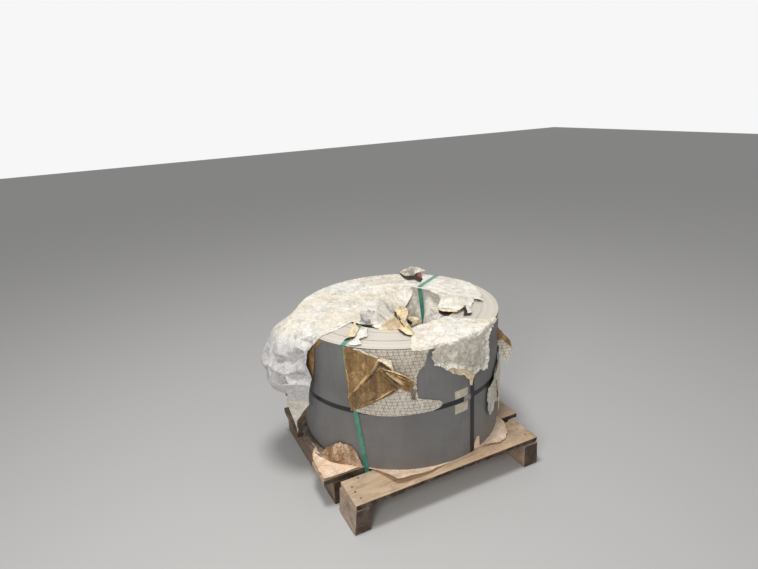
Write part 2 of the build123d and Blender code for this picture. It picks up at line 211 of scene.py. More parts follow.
def makeStage():
    world = bpy.data.worlds.new("studio")
    bpy.context.scene.world = world
    world.use_nodes = True
    tree = world.node_tree
    sky = tree.nodes["Background"]
    setInputs(sky, {"Color": stageLook["skyColour"], "Strength": stageLook["sky"]})
    shown = tree.nodes.new("ShaderNodeBackground")
    setInputs(shown, {"Color": grey(stageLook["background"])})
    mix = tree.nodes.new("ShaderNodeMixShader")
    tree.links.new(seenDirectly(tree), mix.inputs[0])
    tree.links.new(sky.outputs[0], mix.inputs[1])
    tree.links.new(shown.outputs[0], mix.inputs[2])
    tree.links.new(mix.outputs[0], tree.nodes["World Output"].inputs["Surface"])

    selectNothing()
    bpy.ops.mesh.primitive_plane_add(size=stageLook["floorSize"], location=(0, 0, 0))
    ground = bpy.context.object
    ground.name = "floor"
    paint = bpy.data.materials.new("paleFloor")
    paint.use_nodes = True
    shader = paint.node_tree.nodes["Principled BSDF"]
    setInputs(shader, {"Base Color": grey(stageLook["floor"]), "Roughness": stageLook["floorRoughness"]})
    ground.data.materials.append(paint)

    for name, lamp in lamps.items():
        data = bpy.data.lights.new(name, "AREA")
        data.shape = "DISK"
        data.size = lamp["size"]
        data.energy = lamp["power"]
        data.color = stageLook["lampColour"]
        light = bpy.data.objects.new(name, data)
        light.location = lamp["place"]
        aim = Vector((axisX, 0, stageLook["aim"])) - Vector(lamp["place"])
        light.rotation_euler = aim.to_track_quat("-Z", "Y").to_euler()
        bpy.context.scene.collection.objects.link(light)
    print("stage and camera are set")


# Shader node groups: each holds an effect that several finishes use

def setInputs(node, values):
    for label, value in values.items():
        node.inputs[label].default_value = value


def addNode(tree, kind, links=None, **settings):
    node = tree.nodes.new(kind)
    for name, value in settings.items():
        setattr(node, name, value)
    for socket, source in (links or {}).items():
        tree.links.new(source, node.inputs[socket])
    return node


def fillSockets(tree, pairs):
    # each socket gets a number or a colour, or is linked to what it is given
    for socket, value in pairs:
        if isinstance(value, (int, float)):
            socket.default_value = value
        elif isinstance(value, tuple):
            short = len(socket.default_value) > len(value)
            socket.default_value = (*value, 1) if short else value
        elif value is not None:
            tree.links.new(value, socket)


def math(tree, operation, first, second=None, third=None, clamp=False):
    node = addNode(tree, "ShaderNodeMath", operation=operation, use_clamp=clamp)
    fillSockets(tree, zip(node.inputs, (first, second, third)))
    return node.outputs[0]


def vectorMath(tree, operation, first, second=None, output=0):
    node = addNode(tree, "ShaderNodeVectorMath", operation=operation)
    other = node.inputs["Scale" if operation == "SCALE" else 1]
    fillSockets(tree, ((node.inputs[0], first), (other, second)))
    return node.outputs[output]


def noiseTexture(tree, place, scale, detail=3.0, roughness=0.55, distortion=0.0, output="Fac"):
    node = addNode(tree, "ShaderNodeTexNoise", {"Vector": place})
    values = {"Scale": scale, "Detail": detail, "Roughness": roughness, "Distortion": distortion}
    fillSockets(tree, ((node.inputs[label], value) for label, value in values.items()))
    return node.outputs[output]


def grey(value):
    return (value, value, value, 1)


def between(tree, source, low, high):
    # 0 below low, 1 above high
    return math(tree, "DIVIDE", math(tree, "SUBTRACT", source, low), high - low, clamp=True)


def patches(tree, place, limits, *settings):
    # clouds of noise with edges: 0 below the first limit, 1 above the second
    return between(tree, noiseTexture(tree, place, *settings), *limits)


def mixColour(tree, share, first, second, mode="MIX"):
    node = addNode(tree, "ShaderNodeMix", data_type="RGBA", blend_type=mode)
    fillSockets(tree, ((node.inputs[0], share), (node.inputs[6], first), (node.inputs[7], second)))
    return node.outputs[2]


def layOver(tree, base, colour, mask, amount):
    # colour over base where the mask is 1, as strong as the amount
    return mixColour(tree, math(tree, "MULTIPLY", mask, amount), base, colour)


def newGroup(name, inputs, outputs):
    # every group reads a Place, and its other inputs have the values given here
    group = bpy.data.node_groups.new(name, "ShaderNodeTree")
    for label, value in {"Place": None, **inputs}.items():
        kind = "NodeSocketFloat" if isinstance(value, float) else "NodeSocketVector"
        socket = group.interface.new_socket(label, in_out="INPUT", socket_type=kind)
        if value is not None:
            socket.default_value = value
    for label in outputs:
        group.interface.new_socket(label, in_out="OUTPUT", socket_type="NodeSocketFloat")
    start, end = group.nodes.new("NodeGroupInput").outputs, group.nodes.new("NodeGroupOutput").inputs
    return group, start, end


def bent(tree, place, scale, reach):
    # a place pushed about, so that straight lines wander
    push = noiseTexture(tree, place, scale, 2.0, 0.5, 0.0, "Color")
    return vectorMath(tree, "ADD", place, vectorMath(tree, "SCALE", push, reach))


def makeStainGroup():
    # soft dirty patches: Mask is 1 in a stain
    group, start, end = newGroup("stainPatches", {"Scale": 8.0, "Amount": 0.5}, ["Mask"])
    large = noiseTexture(group, start["Place"], start["Scale"], 6.0, 0.62, 0.4)
    small = noiseTexture(group, start["Place"], math(group, "MULTIPLY", start["Scale"], 9.0), 4.0, 0.6)
    both = math(group, "MULTIPLY_ADD", small, 0.3, math(group, "MULTIPLY", large, 0.7))
    low = math(group, "SUBTRACT", 0.78, math(group, "MULTIPLY", start["Amount"], 0.42))
    share = math(group, "DIVIDE", math(group, "SUBTRACT", both, low), 0.16, clamp=True)
    group.links.new(share, end["Mask"])
    return group


# the facets of creased paper, large to small: how many more to a metre, how much each leans, how deep its edges lie
creaseSizes = ((1.0, 0.55, 0.0005), (2.2, 0.46, 0.0003), (4.8, 0.34, 0.0002))


def makeCreaseGroup():
    # crumpled and pulled straight again: flat facets that each lean a little, with ridges between them.
    # Height is in metres, Ridge is 1 on a ridge.
    group, start, end = newGroup("paperCreases", {"Scale": 14.0}, ["Height", "Ridge"])
    place = bent(group, start["Place"], 9.0, 0.05)
    height, ridge = 0.0, 0.0
    for factor, slope, groove in creaseSizes:
        links = {"Vector": place, "Scale": math(group, "MULTIPLY", start["Scale"], factor)}
        cell = addNode(group, "ShaderNodeTexVoronoi", links, feature="F1").outputs
        border = addNode(group, "ShaderNodeTexVoronoi", links, feature="DISTANCE_TO_EDGE").outputs
        lean = vectorMath(group, "SUBTRACT", cell["Color"], (0.5, 0.5, 0.5))
        off = vectorMath(group, "SUBTRACT", place, cell["Position"])
        tilt = vectorMath(group, "DOT_PRODUCT", lean, off, "Value")
        line = math(group, "SUBTRACT", 1.0, math(group, "DIVIDE", border["Distance"], 0.05), clamp=True)
        height = math(group, "MULTIPLY_ADD", tilt, slope, height)
        height = math(group, "MULTIPLY_ADD", line, groove, height)
        ridge = math(group, "MAXIMUM", line, ridge)
    group.links.new(height, end["Height"])
    group.links.new(ridge, end["Ridge"])
    return group


def makeFibreGroup():
    # short streaks along one axis, for sawn grain, rolled strip and kraft
    group, start, end = newGroup("fibreStreaks", {"Stretch": (1, 1, 1), "Scale": 60.0}, ["Streak", "Fine"])
    place = vectorMath(group, "MULTIPLY", start["Place"], start["Stretch"])
    fine = math(group, "MULTIPLY", start["Scale"], 4.3)
    group.links.new(noiseTexture(group, place, start["Scale"], 3.0, 0.6, 0.6), end["Streak"])
    group.links.new(noiseTexture(group, place, fine, 4.0, 0.65), end["Fine"])
    return group


# families of the net's threads: degrees that they turn, how far apart they are in cells, half their width in cells
netThreads = ((90, 1.0, 0.10), (17, 1.35, 0.075), (-21, 1.5, 0.07))


def makeNetGroup():
    # threads of the scrim inside the wrapper, read along the sheet's own UV map in metres
    group, start, end = newGroup("threadNet", {"Cell": 0.0135}, ["Mask", "Cells"])
    split = addNode(group, "ShaderNodeSeparateXYZ", {0: bent(group, start["Place"], 30.0, 0.009)}).outputs
    mask, cells = 0.0, 0.0
    for turn, spacing, half in netThreads:
        level = math(group, "MULTIPLY", split[1], sin(radians(turn)))
        across = math(group, "MULTIPLY_ADD", split[0], cos(radians(turn)), level)
        run = math(group, "DIVIDE", across, math(group, "MULTIPLY", start["Cell"], spacing))
        off = math(group, "ABSOLUTE", math(group, "SUBTRACT", math(group, "FRACT", run), 0.5))
        line = math(group, "DIVIDE", math(group, "SUBTRACT", half, off), 0.05, clamp=True)
        mask = math(group, "MAXIMUM", line, mask)
        cells = math(group, "MULTIPLY_ADD", math(group, "FLOOR", run), 0.37 * spacing, cells)
    worn = patches(group, start["Place"], (0.28, 0.5), 45.0)
    group.links.new(math(group, "MULTIPLY", mask, worn), end["Mask"])
    group.links.new(math(group, "FRACT", cells), end["Cells"])
    return group


groups = {"stain": makeStainGroup(), "crease": makeCreaseGroup(), "fibre": makeFibreGroup(), "net": makeNetGroup()}


def useGroup(tree, name, place, **values):
    node = addNode(tree, "ShaderNodeGroup", node_tree=groups[name])
    tree.links.new(place, node.inputs["Place"])
    setInputs(node, values)
    return node.outputs


def attribute(tree, name):
    return addNode(tree, "ShaderNodeAttribute", attribute_name=name).outputs["Fac"]


def coordinate(tree, kind):
    return tree.nodes.new("ShaderNodeTexCoord").outputs[kind]


def newFinish(name, roughness=0.6, metallic=0.0, specular=0.5):
    finish = bpy.data.materials.new(name)
    finish.use_nodes = True
    tree = finish.node_tree
    shader = tree.nodes["Principled BSDF"]
    setInputs(shader, {"Roughness": roughness, "Metallic": metallic, "Specular IOR Level": specular})
    return finish, tree, shader, coordinate(tree, "Object")


def setColour(tree, shader, colour):
    tree.links.new(colour, shader.inputs["Base Color"])


def setBump(tree, shader, height, strength, distance):
    bump = addNode(tree, "ShaderNodeBump", {"Height": height})
    setInputs(bump, {"Strength": strength, "Distance": distance})
    tree.links.new(bump.outputs["Normal"], shader.inputs["Normal"])


# Finishes

wallLook = {
    "base": (0.157, 0.151, 0.148), "light": (0.200, 0.196, 0.194), "stain": (0.095, 0.088, 0.082), "dirt": 0.3,
    "scuff": (0.30, 0.30, 0.30), "scuffed": 0.3,
}


def wallSteel():
    # rolled strip: even grey with soft clouds, faint upright drag marks and a few scuffs
    finish, tree, shader, place = newFinish("wallSteel", 0.5, 0.0, 0.4)
    fibre = useGroup(tree, "fibre", place, Stretch=(1.0, 1.0, 0.08), Scale=22.0)
    clouds = patches(tree, place, (0.36, 0.66), 3.2, 4.0, 0.6)
    base = mixColour(tree, clouds, wallLook["base"], wallLook["light"])
    streak = math(tree, "MULTIPLY_ADD", between(tree, fibre["Streak"], 0.4, 0.6), 0.07, 0.96)
    streaked = mixColour(tree, 1.0, base, streak, "MULTIPLY")
    stain = useGroup(tree, "stain", place, Scale=5.5, Amount=0.6)["Mask"]
    dirty = layOver(tree, streaked, wallLook["stain"], stain, wallLook["dirt"])
    upright = vectorMath(tree, "MULTIPLY", place, (1, 1, 0.5))
    scuff = patches(tree, upright, (0.64, 0.72), 24.0, 6.0, 0.75, 2.0)
    setColour(tree, shader, layOver(tree, dirty, wallLook["scuff"], scuff, wallLook["scuffed"]))
    tree.links.new(math(tree, "MULTIPLY_ADD", fibre["Fine"], 0.2, 0.36), shader.inputs["Roughness"])
    setBump(tree, shader, fibre["Fine"], 0.06, 0.0004)
    return finish


faceLook = {"light": (0.68, 0.64, 0.57), "dark": (0.47, 0.44, 0.39), "dust": (0.66, 0.60, 0.50), "dusty": 0.5}


def turnSteel():
    # strip edges of the turns: rings round the coil's axis, light with darker gaps, dust over them
    finish, tree, shader, place = newFinish("turnSteel", 0.5, 0.1, 0.5)
    flat = vectorMath(tree, "MULTIPLY", vectorMath(tree, "SUBTRACT", place, (axisX, 0, 0)), (1, 1, 0))
    radius = vectorMath(tree, "LENGTH", flat, output="Value")
    ring = addNode(tree, "ShaderNodeCombineXYZ", {0: radius}).outputs[0]
    turns = noiseTexture(tree, ring, 420.0, 2.0, 0.7)
    bunches = noiseTexture(tree, ring, 46.0, 2.0, 0.6)
    both = math(tree, "MULTIPLY_ADD", bunches, 0.4, math(tree, "MULTIPLY", turns, 0.6))
    base = mixColour(tree, between(tree, both, 0.36, 0.56), faceLook["dark"], faceLook["light"])
    dust = useGroup(tree, "stain", place, Scale=9.0, Amount=0.75)["Mask"]
    setColour(tree, shader, layOver(tree, base, faceLook["dust"], dust, faceLook["dusty"]))
    setBump(tree, shader, turns, 0.4, 0.0008)
    return finish


# net: how dark the scrim's threads show, crease: how many folds there are to a metre, relief: how deep they are
paperLooks = {
    "cover": {"base": (0.93, 0.905, 0.83), "warm": (0.90, 0.81, 0.63), "dull": (0.42, 0.385, 0.34), "dirt": 0.5,
              "print": (0.72, 0.42, 0.36), "tint": 0.32, "net": 0.0, "crease": 21.0, "relief": 0.95},
    # the cover's paper drawn paler and cleaner: painted light inside the shaded bore
    "liner": {"base": (0.95, 0.91, 0.82), "warm": (0.90, 0.82, 0.68), "dull": (0.66, 0.585, 0.50), "dirt": 0.4,
              "print": (0.64, 0.34, 0.28), "tint": 0.2, "net": 0.0, "crease": 26.0, "relief": 0.8},
    "band": {"base": (0.79, 0.73, 0.63), "warm": (0.70, 0.61, 0.49), "dull": (0.50, 0.45, 0.39), "dirt": 0.6,
             "print": (0.36, 0.32, 0.34), "tint": 0.16, "net": 0.8, "crease": 24.0, "relief": 0.55},
    "torn": {"base": (0.92, 0.86, 0.75), "warm": (0.82, 0.71, 0.57), "dull": (0.30, 0.265, 0.235), "dirt": 0.66,
             "print": (0.28, 0.25, 0.26), "tint": 0.36, "net": 0.0, "crease": 44.0, "relief": 1.1},
}
# painted shade: a greyer copy of the paper for the hanging drape and the torn lip
shadedPaper = {"base": (0.63, 0.615, 0.61), "dull": (0.29, 0.28, 0.28), "dirt": 0.75}
paperMarks = {
    "speckle": (0.1, 0.42), "pink": 0.42, "stain": 0.45, "ridge": 0.12, "cells": 0.35, "thread": (0.19, 0.16, 0.13),
    "threadRise": 0.0006, "tornEdge": (0.86, 0.83, 0.75), "tornWhite": 0.85,
}


def wrapperPaper(name):
    # pale coated face: warm blotches, worn spots of print, creases drawn darker, a torn white border,
    # and a greyer copy of the paper, painted shade, as far as the sheet's shade attribute asks
    look, marks = paperLooks[name], paperMarks
    finish, tree, shader, place = newFinish(name + "Paper", 0.6, 0.0, 0.3)
    colour = mixColour(tree, patches(tree, place, (0.44, 0.70), 7.0, 5.0, 0.6, 0.5), look["base"], look["warm"])
    speckle = patches(tree, place, (0.48, 0.62), 120.0, 5.0, 0.8, 1.0)
    coarse = patches(tree, place, (0.40, 0.62), 22.0, 4.0, 0.7, 0.6)
    least, more = marks["speckle"]
    colour = layOver(tree, colour, look["dull"], speckle, math(tree, "MULTIPLY_ADD", coarse, more, least))
    aside = vectorMath(tree, "ADD", place, (3.0, 1.0, 0.0))
    pink = patches(tree, aside, (0.55, 0.66), 13.0, 6.0, 0.72, 1.2)
    colour = layOver(tree, colour, look["print"], pink, marks["pink"])
    small = patches(tree, place, (0.56, 0.70), 60.0, 5.0, 0.7, 1.2)
    printed = math(tree, "MULTIPLY", small, patches(tree, place, (0.54, 0.66), 9.0, 2.0, 0.5))
    colour = layOver(tree, colour, look["print"], printed, look["tint"])
    stain = useGroup(tree, "stain", place, Scale=10.0, Amount=look["dirt"])["Mask"]
    colour = layOver(tree, colour, look["dull"], stain, marks["stain"])
    # painted shade: the greyer copy, mixed in by the sheet's shade attribute
    greyed = layOver(tree, shadedPaper["base"], shadedPaper["dull"], stain, shadedPaper["dirt"])
    colour = mixColour(tree, attribute(tree, "shadeShare"), colour, greyed)
    crease = useGroup(tree, "crease", place, Scale=look["crease"])
    colour = layOver(tree, colour, look["dull"], crease["Ridge"], marks["ridge"])
    height = crease["Height"]
    if look["net"]:
        net = useGroup(tree, "net", coordinate(tree, "UV"))
        colour = layOver(tree, colour, look["dull"], net["Cells"], marks["cells"])
        colour = layOver(tree, colour, marks["thread"], net["Mask"], look["net"])
        height = math(tree, "MULTIPLY_ADD", net["Mask"], marks["threadRise"], height)
    setColour(tree, shader, layOver(tree, colour, marks["tornEdge"], attribute(tree, "border"), marks["tornWhite"]))
    setBump(tree, shader, height, look["relief"], 1.0)
    return finish


kraftLooks = {
    "kraft": {"base": (0.24, 0.132, 0.043), "light": (0.49, 0.31, 0.125), "dark": (0.055, 0.028, 0.012),
              "relief": 0.8},
    # painted shade: a darker copy of the kraft for the fold that stands off the wall
    "fold": {"base": (0.18, 0.098, 0.032), "light": (0.39, 0.24, 0.092), "dark": (0.04, 0.02, 0.009), "relief": 0.9},
    "inner": {"base": (0.30, 0.165, 0.065), "light": (0.44, 0.27, 0.12), "dark": (0.08, 0.045, 0.022), "relief": 0.6},
    "tuft": {"base": (0.95, 0.75, 0.48), "light": (0.98, 0.90, 0.68), "dark": (0.55, 0.34, 0.17), "relief": 1.0,
             "stretch": (1.0, 1.0, 1.0)},
    "base": {"base": (0.90, 0.66, 0.475), "light": (0.96, 0.80, 0.64), "dark": (0.42, 0.25, 0.14), "relief": 0.45,
             "stretch": (0.4, 1.0, 1.0)},
    # painted highlight: a lighter kraft for the rolled ridges
    "highlitRoll": {"base": (0.55, 0.36, 0.175), "light": (0.80, 0.60, 0.36), "dark": (0.26, 0.145, 0.06),
                 "relief": 0.4},
    # painted shade: near-black kraft for the folds, the hollow and the shadow line at the coil's foot
    "shadowKraft": {"base": (0.045, 0.022, 0.009), "light": (0.12, 0.065, 0.028), "dark": (0.02, 0.01, 0.005),
                   "relief": 0.4},
    "tent": {"base": (0.33, 0.19, 0.095), "light": (0.66, 0.46, 0.30), "dark": (0.10, 0.05, 0.026), "relief": 1.2,
             "stretch": (1.0, 1.0, 0.1)},
    # painted shade: a darker brown copy of the paper
    "shade": {"base": (0.165, 0.125, 0.092), "light": (0.25, 0.195, 0.15), "dark": (0.06, 0.045, 0.036),
              "relief": 0.8, "stretch": (1.0, 0.3, 1.0)},
}


kraftMarks = {"stretch": (1.0, 1.0, 0.2), "ridge": 0.4, "stain": 0.4, "tornLight": 0.5, "fibreRise": 0.0006}


def kraftPaper(name):
    look, marks = kraftLooks[name], kraftMarks
    finish, tree, shader, place = newFinish(name + "Kraft", 0.52, 0.0, 0.5)
    fibre = useGroup(tree, "fibre", place, Stretch=look.get("stretch", marks["stretch"]), Scale=28.0)
    colour = mixColour(tree, between(tree, fibre["Streak"], 0.40, 0.66), look["base"], look["light"])
    crease = useGroup(tree, "crease", place, Scale=19.0)
    colour = layOver(tree, colour, look["dark"], crease["Ridge"], marks["ridge"])
    stain = useGroup(tree, "stain", place, Scale=12.0, Amount=0.55)["Mask"]
    colour = layOver(tree, colour, look["dark"], stain, marks["stain"])
    setColour(tree, shader, layOver(tree, colour, look["light"], attribute(tree, "border"), marks["tornLight"]))
    height = math(tree, "MULTIPLY_ADD", fibre["Fine"], marks["fibreRise"], crease["Height"])
    setBump(tree, shader, height, look["relief"], 1.0)
    return finish


woodLooks = {
    "deck": {
        "light": (0.64, 0.50, 0.36), "dark": (0.40, 0.275, 0.175), "dirt": (0.20, 0.155, 0.12),
        "side": (0.036, 0.027, 0.02), "stain": 0.7, "stretch": (0.10, 1.0, 1.0),
    },
    # painted shade, with some dirt: the back boards drawn much darker than the deck
    "backDeck": {
        "light": (0.17, 0.125, 0.09), "dark": (0.075, 0.052, 0.036), "dirt": (0.035, 0.026, 0.02),
        "side": (0.055, 0.04, 0.03), "stain": 0.8, "stretch": (0.10, 1.0, 1.0),
    },
    # drawn dark: painted shade under the deck, with dirt
    "runner": {
        "light": (0.24, 0.185, 0.14), "dark": (0.13, 0.097, 0.07), "dirt": (0.07, 0.055, 0.043),
        "side": (0.045, 0.035, 0.027), "stain": 0.8, "stretch": (1.0, 0.10, 1.0),
    },
    "block": {
        "light": (0.50, 0.41, 0.345), "dark": (0.32, 0.25, 0.20), "dirt": (0.14, 0.10, 0.08),
        "side": (0.075, 0.05, 0.04), "stain": 0.8, "stretch": (1.0, 0.10, 1.0),
    },
}
woodMarks = {"warm": (0.56, 0.33, 0.17), "warmed": 0.45, "dirty": 0.55}


def sawnWood(name):
    # close grain, orange and grey blotches, dirt, and faces that look to the front drawn dark: rubbed bark, and painted
    # shade
    look, marks = woodLooks[name], woodMarks
    finish, tree, shader, place = newFinish(name + "Wood", 0.8, 0.0, 0.2)
    fibre = useGroup(tree, "fibre", place, Stretch=look["stretch"], Scale=110.0)
    drawn = vectorMath(tree, "MULTIPLY", place, look["stretch"])
    rings = math(tree, "FRACT", math(tree, "MULTIPLY", noiseTexture(tree, drawn, 15.0, 2.0, 0.5, 0.7), 7.0))
    late = math(tree, "POWER", rings, 3.0)
    grain = math(tree, "MULTIPLY_ADD", late, 0.28, math(tree, "MULTIPLY", fibre["Streak"], 0.8))
    colour = mixColour(tree, between(tree, grain, 0.25, 0.8), look["light"], look["dark"])
    warm = patches(tree, drawn, (0.5, 0.68), 8.0, 4.0, 0.6)
    colour = layOver(tree, colour, marks["warm"], warm, marks["warmed"])
    stain = useGroup(tree, "stain", place, Scale=11.0, Amount=look["stain"])["Mask"]
    colour = layOver(tree, colour, look["dirt"], stain, marks["dirty"])
    normal = addNode(tree, "ShaderNodeSeparateXYZ", {0: coordinate(tree, "Normal")})
    # painted shade, with rubbed bark: faces turned to the front take the dark side colour
    front = between(tree, math(tree, "MULTIPLY", normal.outputs["Y"], -1.0), 0.3, 0.7)
    rough = math(tree, "MULTIPLY_ADD", patches(tree, place, (0.38, 0.58), 26.0, 4.0, 0.6), 0.2, 0.8)
    setColour(tree, shader, layOver(tree, colour, look["side"], front, rough))
    setBump(tree, shader, math(tree, "MULTIPLY_ADD", fibre["Fine"], 0.5, grain), 0.8, 0.0016)
    return finish


bandLook = {"base": (0.010, 0.010, 0.011), "worn": (0.06, 0.055, 0.05), "share": 0.5}
strapLook = {"base": (0.050, 0.215, 0.150), "light": (0.095, 0.345, 0.245)}


def strapPlastic():
    # green polyester strapping with a fine embossed diamond
    finish, tree, shader, place = newFinish("greenStrap", 0.36, 0.0, 0.5)
    clouds = patches(tree, place, (0.35, 0.68), 30.0)
    setColour(tree, shader, mixColour(tree, clouds, strapLook["base"], strapLook["light"]))
    emboss = addNode(tree, "ShaderNodeTexVoronoi", {"Vector": place}, feature="F1", distance="MANHATTAN")
    setInputs(emboss, {"Scale": 420.0})
    setBump(tree, shader, emboss.outputs["Distance"], 0.25, 0.0004)
    return finish


def bandSteel():
    finish, tree, shader, place = newFinish("blackBand", 0.35, 0.0, 0.5)
    worn = useGroup(tree, "stain", place, Scale=26.0, Amount=0.45)["Mask"]
    setColour(tree, shader, layOver(tree, bandLook["base"], bandLook["worn"], worn, bandLook["share"]))
    scratch = noiseTexture(tree, place, 160.0)
    tree.links.new(math(tree, "MULTIPLY_ADD", scratch, 0.3, 0.25), shader.inputs["Roughness"])
    setBump(tree, shader, scratch, 0.1, 0.0003)
    return finish


def plainFinish(name, first, second, scale, roughness, metallic=0.0, relief=0.0006):
    # two close colours in small clouds, for clips, tape, nails, print and the painted shadow in tears and under lifted
    # scraps
    finish, tree, shader, place = newFinish(name, roughness, metallic, 0.45)
    cloud = noiseTexture(tree, place, scale, 4.0, 0.6, 0.5)
    setColour(tree, shader, mixColour(tree, between(tree, cloud, 0.36, 0.66), first, second))
    creased = math(tree, "MULTIPLY", useGroup(tree, "crease", place, Scale=60.0)["Height"], relief * 300)
    setBump(tree, shader, math(tree, "MULTIPLY_ADD", cloud, relief, creased), 0.6, 1.0)
    return finish


finishes = {
    "wall": wallSteel(),
    "turns": turnSteel(),
    **{name: wrapperPaper(name) for name in paperLooks},
    **{name: kraftPaper(name) for name in kraftLooks},
    **{name: sawnWood(name) for name in woodLooks},
    "strap": strapPlastic(),
    "blackBand": bandSteel(),
    "clip": plainFinish("clipSteel", (0.24, 0.23, 0.22), (0.44, 0.43, 0.42), 90.0, 0.4, 0.6),
    "tape": plainFinish("paleTape", (0.50, 0.43, 0.32), (0.68, 0.62, 0.50), 35.0, 0.55, 0.0, 0.0012),
    # near-black: painted shadow, laid as sheets in tears, slits, creases and under lifted scraps
    "paintedShadow": plainFinish("tearShade", (0.016, 0.011, 0.010), (0.05, 0.026, 0.018), 60.0, 0.9),
    "redPrint": plainFinish("redPrint", (0.16, 0.018, 0.020), (0.42, 0.16, 0.14), 70.0, 0.7),
    "nail": plainFinish("nailSteel", (0.10, 0.05, 0.03), (0.26, 0.14, 0.08), 300.0, 0.7, 0.3),
}
print("finishes are made")


def dress(piece, finish, slot, *replaced):
    piece.data.materials.clear()
    for name in finish if isinstance(finish, (list, tuple)) else [finish]:
        piece.data.materials.append(finishes[name])
    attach(piece, "root")
    if replaced:
        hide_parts(*replaced)
    return piece


# Coil: a cylinder whose ends are inset turn by turn, each turn a little proud or low, then bored

coilLook = {
    "turns": 56, "bunches": 5, "bunchRise": 0.0010, "drift": 0.0008, "gap": 0.0005, "slope": 0.0004, "ease": 0.0012,
    "sides": 192,
}


def turnHeight(index, seed):
    # how low this turn lies under the face
    bunch = int(coilLook["bunches"] * (1 - (index + 0.5) / coilLook["turns"])) % 2
    drift = abs(wobble(index * 0.37, seed, 3.7)) + 0.5 * abs(wobble(index * 1.91, seed, 8.7))
    return bunch * coilLook["bunchRise"] + drift * coilLook["drift"]


def buildCoil():
    ease, gap, slope = coilLook["ease"], coilLook["gap"], coilLook["slope"]
    ring = (wallRadius - boreRadius - ease) / coilLook["turns"]
    selectNothing()
    bpy.ops.mesh.primitive_cylinder_add(
        vertices=coilLook["sides"], radius=wallRadius, depth=coilWidth - 2 * ease,
        location=(axisX, 0, (coilFoot + coilTop) / 2),
    )
    coil = bpy.context.object
    coil.name = "coilTurns"
    bakePlace(coil)
    for end, seed in ((coilTop, 1.5), (coilFoot, 6.5)):
        editWhere(coil, "FACE", lambda middle: abs(middle.z - end) < 0.003 and fromAxis(middle) < 0.01)
        lies = 0.0
        bpy.ops.mesh.inset(thickness=ease, depth=ease)
        for index in range(coilLook["turns"]):
            bpy.ops.mesh.inset(thickness=ring - 2 * slope, depth=0)
            bpy.ops.mesh.inset(thickness=slope, depth=-gap)
            following = turnHeight(index + 1, seed)
            bpy.ops.mesh.inset(thickness=slope, depth=gap - (following - lies))
            lies = following
        bpy.ops.mesh.delete(type="FACE")
        editMode(False)
    editWhere(coil, "EDGE", lambda middle: fromAxis(middle) < boreRadius + 0.0003)
    bpy.ops.mesh.bridge_edge_loops()
    bpy.ops.mesh.select_all(action="SELECT")
    bpy.ops.mesh.normals_make_consistent(inside=False)
    editMode(False)
    dress(coil, ["wall", "turns"], "coil_steel", "coil")
    for face in coil.data.polygons:
        face.material_index = 1 if abs(face.normal.z) > 0.3 else 0
    smooth(coil, 30)
    print("coil has", len(coil.data.polygons), "faces")


# Timber: each board, runner and block starts as a cube of its node's size, cut across and along

timberLook = {
    "cut": 0.03, "crossCut": 0.8, "ease": 0.002, "rough": 0.0016, "grainSize": 0.03, "splitSize": 0.014,
    "lean": 0.012,
    "frontDepth": 0.016, "arris": 0.012, "chipped": 0.02,
}
# node: name, finish, long axis, wane of the lower front edge, how far the left end is out of square, front roughness
timbers = {
    "deck_board_1": ("frontBoard", "deck", 0, 0.006, 0.003, 0.009),
    "deck_board_2": ("secondBoard", "deck", 0, 0.006, 0.002, 0.003),
    "deck_board_3": ("thirdBoard", "backDeck", 0, 0.006, 0.016, 0.003),
    "deck_board_4": ("backBoard", "backDeck", 0, 0.006, 0.0, 0.003),
    "runner_left": ("leftRunner", "runner", 1, 0.0, 0.0, 0.003),
    "runner_right": ("rightRunner", "runner", 1, 0.0, 0.0, 0.003),
    "front_block_left": ("leftBlock", "block", 1, 0.0, 0.0, 0.007),
    "front_block_right": ("rightBlock", "block", 1, 0.0, 0.0, 0.004),
    "back_block_left": ("leftBackBlock", "block", 1, 0.0, 0.0, 0.002),
    "back_block_right": ("rightBackBlock", "block", 1, 0.0, 0.0, 0.002),
}


def cloudTexture(name, size, depth=2):
    texture = bpy.data.textures.new(name, "CLOUDS")
    texture.noise_scale = size
    texture.noise_depth = depth
    return texture


